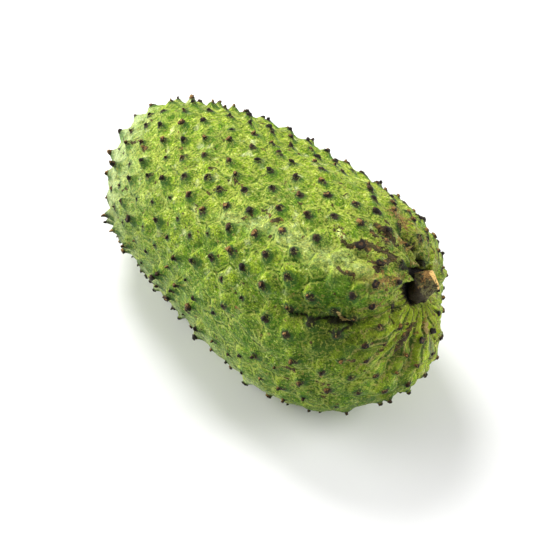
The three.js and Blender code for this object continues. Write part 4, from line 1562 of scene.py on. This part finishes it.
def stub_mesh(look):
    """The stub's bark in rings from its base up, and the rings of its cut end."""
    points, bark, ring_share, tan_side = [], [], [], []

    def add_ring(share, shrink, sunk, barky):
        centre, level, up, axis = stub_frame(share)
        slope = float(smooth(*CUT_FROM, share)) * shrink
        for side in range(STUB_SIDES):
            turn = 2.0 * math.pi * side / STUB_SIDES
            radius = stub_radius(look, turn, share) * shrink
            tip = CUT_SLOPE * math.cos(turn - CUT_SLOPES_TOWARDS) * slope
            shift = level * (radius * math.cos(turn)) + up * (radius * math.sin(turn))
            points.append(centre + (shift + axis * (tip - sunk)))
            bark.append(barky)
            tan_side.append(math.cos(turn - STUB_TAN_TOWARDS))
            ring_share.append(share)

    for ring in range(STUB_RINGS):
        add_ring(ring / (STUB_RINGS - 1), 1.0, 0.0, 1.0)
    for ring in range(1, STUB_FACE_RINGS):
        share = ring / STUB_FACE_RINGS
        dip = CUT_DISH * smooth(0.0, 0.25, share) + CUT_RINGS_RISE * math.sin(CUT_RINGS * share)
        add_ring(1.0, 1.0 - share, float(dip), 0.0)
    centre, _, _, axis = stub_frame(1.0)
    points += [centre - axis * CUT_MIDDLE, stub_frame(0.0)[0]]
    bark += [0.0, 1.0]
    ring_share += [1.0, 0.0]
    tan_side += [0.0, 0.0]

    last = (STUB_RINGS + STUB_FACE_RINGS - 2) * STUB_SIDES
    faces = []
    for side in range(STUB_SIDES):
        after = (side + 1) % STUB_SIDES
        for low in range(0, last, STUB_SIDES):
            high = low + STUB_SIDES
            faces.append((low + side, low + after, high + after, high + side))
        faces.append((last + side, last + after, len(points) - 2))
        faces.append((side, len(points) - 1, after))
    mesh = bpy.data.meshes.new("stem_stub")
    mesh.from_pydata([tuple(p * MM) for p in points], [], faces)
    carry(mesh, "bark", np.array(bark))
    carry(mesh, "along", np.array(ring_share))
    carry(mesh, "tan_side", np.array(tan_side))
    mesh.shade_smooth()
    return mesh


def stub_finish(look):
    """Ridged bark, olive and dark, worn tan in patches, more of them to one side, and the pale wood of the
    cut.
    """
    wood = Finish("Stem bark")
    along = wood.mark("along")
    ridges = wood.grain(2.6, 4.0, 0.6)
    flecks = wood.grain(1.1, 3.0, 0.6, shift=4.0)
    fibres = wood.grain(0.7, 3.0, 0.65, shift=14.0)
    worn = wood.grain(3.6, 3.0, 0.6, shift=8.0)
    wood.colour = wood.lay(look.bark_olive, look.bark_dark, wood.rise(ridges, 0.5, 0.62) * 0.85)
    patchy = 0.6 * worn + 0.4 * flecks + 0.09 * wood.mark("tan_side") + 0.12 * along
    wood.coat(look.bark_tan, wood.rise(patchy, 0.63, 0.7) * 0.8)
    wood.coat(look.bark_dark, wood.rise(wood.grain(2.4, 3.0, 0.6, shift=24.0), 0.55, 0.6) * 0.85)
    wood.coat(look.bark_dark, wood.rise(along + 0.3 * (flecks - 0.5), 0.46, 0.36) * 0.9)
    wood.colour = wood.shade(wood.colour, 0.72 + 3.4 * (fibres - 0.5))
    rim = wood.rise(along + 0.2 * (worn - 0.5) + 0.1 * (flecks - 0.5), 0.91, 0.95)
    wood.coat(look.cut_wood, rim * wood.rise(flecks, 0.4, 0.5))
    face = wood.lay(look.cut_wood, look.bark_tan, wood.rise(ridges, 0.45, 0.6))
    varying = {
        "Base Color": wood.lay(face, wood.colour, wood.mark("bark")),
        "Roughness": 0.6 + 0.25 * flecks,
        "Normal": wood.bump(0.6 * ridges + 0.3 * flecks + 0.3 * fibres, 0.9),
    }
    return wood.finish({"IOR": 1.45, "Specular IOR Level": 0.3}, varying)


# ---------------------------------------------------------------- what a user can change


def colour_of(name, about, red, green, blue):
    """A colour property. Its default is given as screen values from 0 to 255."""

    def linear(value):
        value = value / 255.0
        return value / 12.92 if value <= 0.04045 else ((value + 0.055) / 1.055) ** 2.4

    settings = {"subtype": "COLOR", "size": 4, "min": 0, "max": 1}
    default = (linear(red), linear(green), linear(blue), 1.0)
    return FloatVectorProperty(name=name, description=about, default=default, **settings)


def length_of(name, about, millimetres):
    """A length property."""
    return FloatProperty(name=name, description=about, unit="LENGTH", default=millimetres * MM)


def angle_of(name, about, degrees):
    """An angle property."""
    return FloatProperty(name=name, description=about, unit="ROTATION", default=math.radians(degrees))


def share_of(name, about, share):
    """A property without a unit, such as a share or a scale."""
    return FloatProperty(name=name, description=about, subtype="FACTOR", default=share)


def count_of(name, about, count):
    """A whole number."""
    return IntProperty(name=name, description=about, default=count)


class SoursopRind(bpy.types.PropertyGroup):
    """Sizes and colours of the rind"""

    first_division: count_of("First Division", "How often the areole net is divided first", 1)
    second_division: count_of("Second Division", "How often it is divided again", 2)
    drawn_in: share_of("Drawn In", "How near a spine the points round it are drawn", 0.62)
    areole_shift: length_of("Areole Shift", "How far towards the stem an areole lies from its spine", 3.6)
    pillow_rise: length_of("Pillow Rise", "How far an areole swells over the lines round it", 1.5)
    lump_rise: length_of("Lump Rise", "Height of the broad uneven lumps", 1.4)
    crinkle_rise: length_of("Crinkle Rise", "Height of the small wrinkles", 0.5)
    pleat_rise: length_of("Pleat Rise", "Height of the pleats that fan out of the cavity", 1.7)
    ridge_rise: length_of("Ridge Rise", "Height of the long ridges below the stem", 2.2)
    grain_rise: length_of("Grain Rise", "Height of the skin's grain", 0.5)
    # Where the painted shadow beside each spine lies.
    shade_shift: length_of("Shade Shift", "How far to one side of its spine the deep green lies", 2.0)
    leaf_green: colour_of("Leaf Green", "Main colour of the rind", 131, 164, 18)
    # Deep green is also laid as painted shade: on the shady side, the areoles' edges, the deep bands and
    # slopes that face the shaded side.
    deep_green: colour_of("Deep Green", "Darker clouds and creases", 76, 126, 10)
    # Lime is also laid as painted light: on the areoles' middles, the backs of pleats and ridges, and
    # slopes that face away from the shaded side.
    lime: colour_of("Lime", "Yellow-green patches", 172, 196, 28)
    # Fleck is also the painted highlight of the rims beside the areole lines.
    fleck: colour_of("Fleck", "Pale flecks, threads and rims", 208, 216, 96)
    # Pale is also the painted light of the pale bands.
    pale: colour_of("Pale", "Bleached patches", 224, 232, 174)
    # Painted reflection on the left and lower edges.
    pale_reflection: colour_of("Waxy", "Skin under a waxy bloom", 184, 200, 144)
    sliver: colour_of("Sliver", "Curled slivers of dry skin", 200, 176, 108)
    # Painted shade round the foot of each spine.
    shade_green: colour_of("Shade Green", "Skin round the foot of each spine", 48, 92, 32)
    # Groove is also laid as painted shade in the areole grooves, creases and valley floors.
    groove: colour_of("Groove", "Lines between the areoles", 54, 86, 10)
    stain: colour_of("Stain", "Brown stains round the dry tips", 52, 38, 26)
    dry_brown: colour_of("Dry Brown", "Dashes and dry spots", 72, 50, 30)
    russet: colour_of("Russet", "Worn reddish patches", 158, 116, 64)
    grey_bloom: colour_of("Grey Bloom", "Greyed skin", 100, 108, 82)
    cork: colour_of("Cork", "Corky scars", 76, 60, 44)
    # Cracks, and the painted shade of the cavity's deep floor.
    crack_black_and_pit_shade: colour_of("Dark Crack", "Cracks and the cavity's floor", 24, 18, 10)


class SoursopTips(bpy.types.PropertyGroup):
    """Sizes and colours of the dry tips"""

    tip_width: length_of("Tip Width", "Width of a common dry tip", 2.6)
    knob_scale: share_of("Knob Scale", "Size of the few ringed knobs near the stem", 1.0)
    crater_share: share_of("Crater Share", "Share of the tips that have broken off hollow", 0.1)
    tip_green: colour_of("Tip Green", "Flesh below the dry part", 106, 142, 48)
    tip_olive: colour_of("Tip Olive", "Flesh below the dry part", 128, 140, 56)
    tip_dark: colour_of("Tip Dark", "Dry part", 30, 24, 18)
    # Worn places, and the painted highlight on each tip's upper side, in brown and then tan.
    tip_brown: colour_of("Tip Brown", "Worn places on the dry part", 84, 60, 34)
    tip_heart: colour_of("Tip Heart", "Bleached places, and the inside of a hollow tip", 166, 128, 70)


class SoursopStub(bpy.types.PropertyGroup):
    """Sizes and colours of the stem's stub"""

    bark_rise: length_of("Bark Rise", "Height of the bark's ridges", 0.5)
    bark_olive: colour_of("Bark Olive", "Bark between its ridges", 104, 100, 56)
    bark_dark: colour_of("Bark Dark", "Dark bark and the collar", 44, 32, 18)
    bark_tan: colour_of("Bark Tan", "Worn patches", 168, 124, 64)
    cut_wood: colour_of("Cut Wood", "The cut end and its rim", 240, 198, 120)


class SoursopStage(bpy.types.PropertyGroup):
    """The camera and the floor"""

    azimuth: angle_of("Azimuth", "Camera round the fruit", 45.6)
    elevation: angle_of("Elevation", "Camera over the floor", 42.7)
    roll: angle_of("Roll", "Camera turned about its view", 2.2)
    distance: length_of("Distance", "From the camera to what it looks at", 755.0)
    lens: FloatProperty(name="Lens", description="Focal length", unit="CAMERA", default=92.06)
    floor: colour_of("Floor", "Pale floor", 246, 246, 246)


# ---------------------------------------------------------------- the stage

# How far a piece may stand out of its solid's box, in mm.
FIT_SLACK = 3.0
# In metres: half the floor's side, and what the camera sees from and to.
FLOOR_HALF = 3.0
CAMERA_CLIPS = (0.05, 20.0)
# What the camera looks at, in mm from the middle of the fruit's box.
AIM_FROM_CENTRE = (22.9, -13.6, -6.8)
# Each light: where it stands from the fruit in metres, its size and its power in watts.
LIGHTS = {
    "key": ((-0.7, 0.2, 1.15), 0.55, 13.8),
    "side": ((-1.0, -0.8, 0.4), 1.2, 21.0),
    "rim": ((0.9, 0.8, 0.6), 0.9, 14.0),
}
WORLD_STRENGTH = 0.34


def check_fit(piece, node):
    """Stops if a piece strays from the box of the solid it stands for."""
    slack = FIT_SLACK * MM
    places = read_points(piece.data, "co")
    low, high = (np.array(corner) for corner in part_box(node))
    if np.any(places.min(axis=0) < low - slack) or np.any(places.max(axis=0) > high + slack):
        raise RuntimeError(f"{piece.name} leaves the box of {node}")


def add_floor(look, height):
    """A wide floor of pale paper, hardly clouded."""
    mesh = bpy.data.meshes.new("floor")
    ends = (-FLOOR_HALF, FLOOR_HALF)
    mesh.from_pydata([(x, y, height) for y in ends for x in ends], [], [(0, 1, 3, 2)])
    paper = Finish("Pale floor")
    tone = paper.shade(look.floor[:3], 0.995 + 0.01 * paper.grain(160.0))
    mesh.materials.append(paper.finish({"Roughness": 0.7}, {"Base Color": tone}))
    floor = bpy.data.objects.new("floor", mesh)
    bpy.context.scene.collection.objects.link(floor)


def add_lights(centre):
    """Round soft lights that face the fruit, and an even white world."""
    for name, (offset, size, power) in LIGHTS.items():
        lamp = bpy.data.lights.new(name, "AREA")
        lamp.shape = "DISK"
        lamp.size = size
        lamp.energy = power
        holder = bpy.data.objects.new(name, lamp)
        holder.location = centre + Vector(offset)
        holder.rotation_euler = (-Vector(offset)).to_track_quat("-Z", "Y").to_euler()
        bpy.context.scene.collection.objects.link(holder)
    world = bpy.data.worlds.new("Soft white")
    world.use_nodes = True
    background = world.node_tree.nodes["Background"]
    background.inputs["Color"].default_value = (1.0, 1.0, 1.0, 1.0)
    background.inputs["Strength"].default_value = WORLD_STRENGTH
    bpy.context.scene.world = world


def add_camera(look, centre):
    """The camera, turned round the fruit, lifted, and rolled about its view."""
    turn = Matrix.Rotation(look.azimuth, 3, "Z") @ Matrix.Rotation(math.pi / 2.0 - look.elevation, 3, "X")
    turn = turn @ Matrix.Rotation(look.roll, 3, "Z")
    aim = centre + Vector(AIM_FROM_CENTRE) * MM
    camera = bpy.data.cameras.new("camera")
    camera.lens = look.lens
    camera.clip_start, camera.clip_end = CAMERA_CLIPS
    holder = bpy.data.objects.new("camera", camera)
    holder.matrix_world = Matrix.Translation(aim + turn @ Vector((0.0, 0.0, look.distance))) @ turn.to_4x4()
    bpy.context.scene.collection.objects.link(holder)
    bpy.context.scene.camera = holder
    bpy.context.scene.view_settings.view_transform = "Standard"


# ---------------------------------------------------------------- operators


class SOURSOP_OT_grow_rind(bpy.types.Operator):
    """Grows the spiny green skin"""

    bl_idname = "soursop.grow_rind"
    bl_label = "Grow Rind"

    def execute(self, context):
        look = context.scene.soursop_rind
        sites = bpy.data.meshes.new("rind_sites")
        sites.from_pydata(on_ball(grown_spines()["aims"]).tolist(), [], [])
        values = {
            "First Division": look.first_division,
            "Second Division": look.second_division,
            "Material": rind_finish(look),
        }
        rind = net_recipe().run(sites, "rind", values)
        shape_rind(rind.data, look)
        check_fit(rind, "fruit")
        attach(rind, "root")
        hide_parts("fruit")
        return {"FINISHED"}


class SOURSOP_OT_add_spine_tips(bpy.types.Operator):
    """Sets a dry, dark tip on each spine"""

    bl_idname = "soursop.add_spine_tips"
    bl_label = "Add Spine Tips"

    def execute(self, context):
        look = context.scene.soursop_tips
        shapes = bpy.data.collections.new("tip_shapes")
        for seed, name in enumerate(TIP_KINDS):
            shapes.objects.link(tip_shape(f"{seed}_{name}", TIP_KINDS[name], seed + TIP_SEED))
        context.scene.collection.children.link(shapes)
        values = {"Tip Shapes": shapes, "Material": tips_finish(look)}
        tips = tips_recipe().run(tip_places(look), "spine_tips", values)
        for shape in list(shapes.objects):
            bpy.data.objects.remove(shape)
        bpy.data.collections.remove(shapes)
        for point in tips.data.vertices:
            point.co.z = max(point.co.z, 0.0)
        # Painted highlight: how far each tip's surface faces up towards the light, read as tan.
        carry(tips.data, "bleached", read_points(tips.data, "normal") @ unit(HIGHLIGHT_TOWARDS))
        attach(tips, "root")
        return {"FINISHED"}


class SOURSOP_OT_add_stem_stub(bpy.types.Operator):
    """Adds the woody stub of the stem"""

    bl_idname = "soursop.add_stem_stub"
    bl_label = "Add Stem Stub"

    def execute(self, context):
        look = context.scene.soursop_stub
        mesh = stub_mesh(look)
        mesh.materials.append(stub_finish(look))
        stub = bpy.data.objects.new("stem_stub", mesh)
        context.scene.collection.objects.link(stub)
        check_fit(stub, "stem")
        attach(stub, "root")
        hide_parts("stem")
        return {"FINISHED"}


class SOURSOP_OT_set_stage(bpy.types.Operator):
    """Lays the floor, hangs the lights and sets the camera"""

    bl_idname = "soursop.set_stage"
    bl_label = "Set Stage"

    def execute(self, context):
        look = context.scene.soursop_stage
        low, high = (Vector(corner) for corner in cad_box)
        add_floor(look, low.z)
        add_lights((low + high) / 2.0)
        add_camera(look, (low + high) / 2.0)
        return {"FINISHED"}


class SOURSOP_PT_panel(bpy.types.Panel):
    """Lists the soursop's pieces"""

    bl_idname = "SOURSOP_PT_panel"
    bl_label = "Soursop"
    bl_space_type = "VIEW_3D"
    bl_region_type = "UI"
    bl_category = "Soursop"

    def draw(self, context):
        for operator, look in STEPS:
            self.layout.operator(operator.bl_idname)
            box = self.layout.box()
            group = getattr(context.scene, look)
            for name in group.bl_rna.properties.keys():
                if name not in ("rna_type", "name"):
                    box.prop(group, name)


# Each operator with the property group that it reads, in the order they run.
STEPS = (
    (SOURSOP_OT_grow_rind, "soursop_rind"),
    (SOURSOP_OT_add_spine_tips, "soursop_tips"),
    (SOURSOP_OT_add_stem_stub, "soursop_stub"),
    (SOURSOP_OT_set_stage, "soursop_stage"),
)
LOOKS = {
    "soursop_rind": SoursopRind,
    "soursop_tips": SoursopTips,
    "soursop_stub": SoursopStub,
    "soursop_stage": SoursopStage,
}


def register():
    """Makes the classes and their properties known."""
    for name, group in LOOKS.items():
        bpy.utils.register_class(group)
        setattr(bpy.types.Scene, name, PointerProperty(type=group))
    for operator, _ in STEPS:
        bpy.utils.register_class(operator)
    bpy.utils.register_class(SOURSOP_PT_panel)


def unregister():
    """Takes them back, last first."""
    bpy.utils.unregister_class(SOURSOP_PT_panel)
    for operator, _ in reversed(STEPS):
        bpy.utils.unregister_class(operator)
    for name, group in reversed(LOOKS.items()):
        delattr(bpy.types.Scene, name)
        bpy.utils.unregister_class(group)


def main():
    """Grows the pieces in order."""
    register()
    bpy.ops.soursop.grow_rind()
    bpy.ops.soursop.add_spine_tips()
    bpy.ops.soursop.add_stem_stub()
    bpy.ops.soursop.set_stage()


if __name__ == "__main__":
    main()
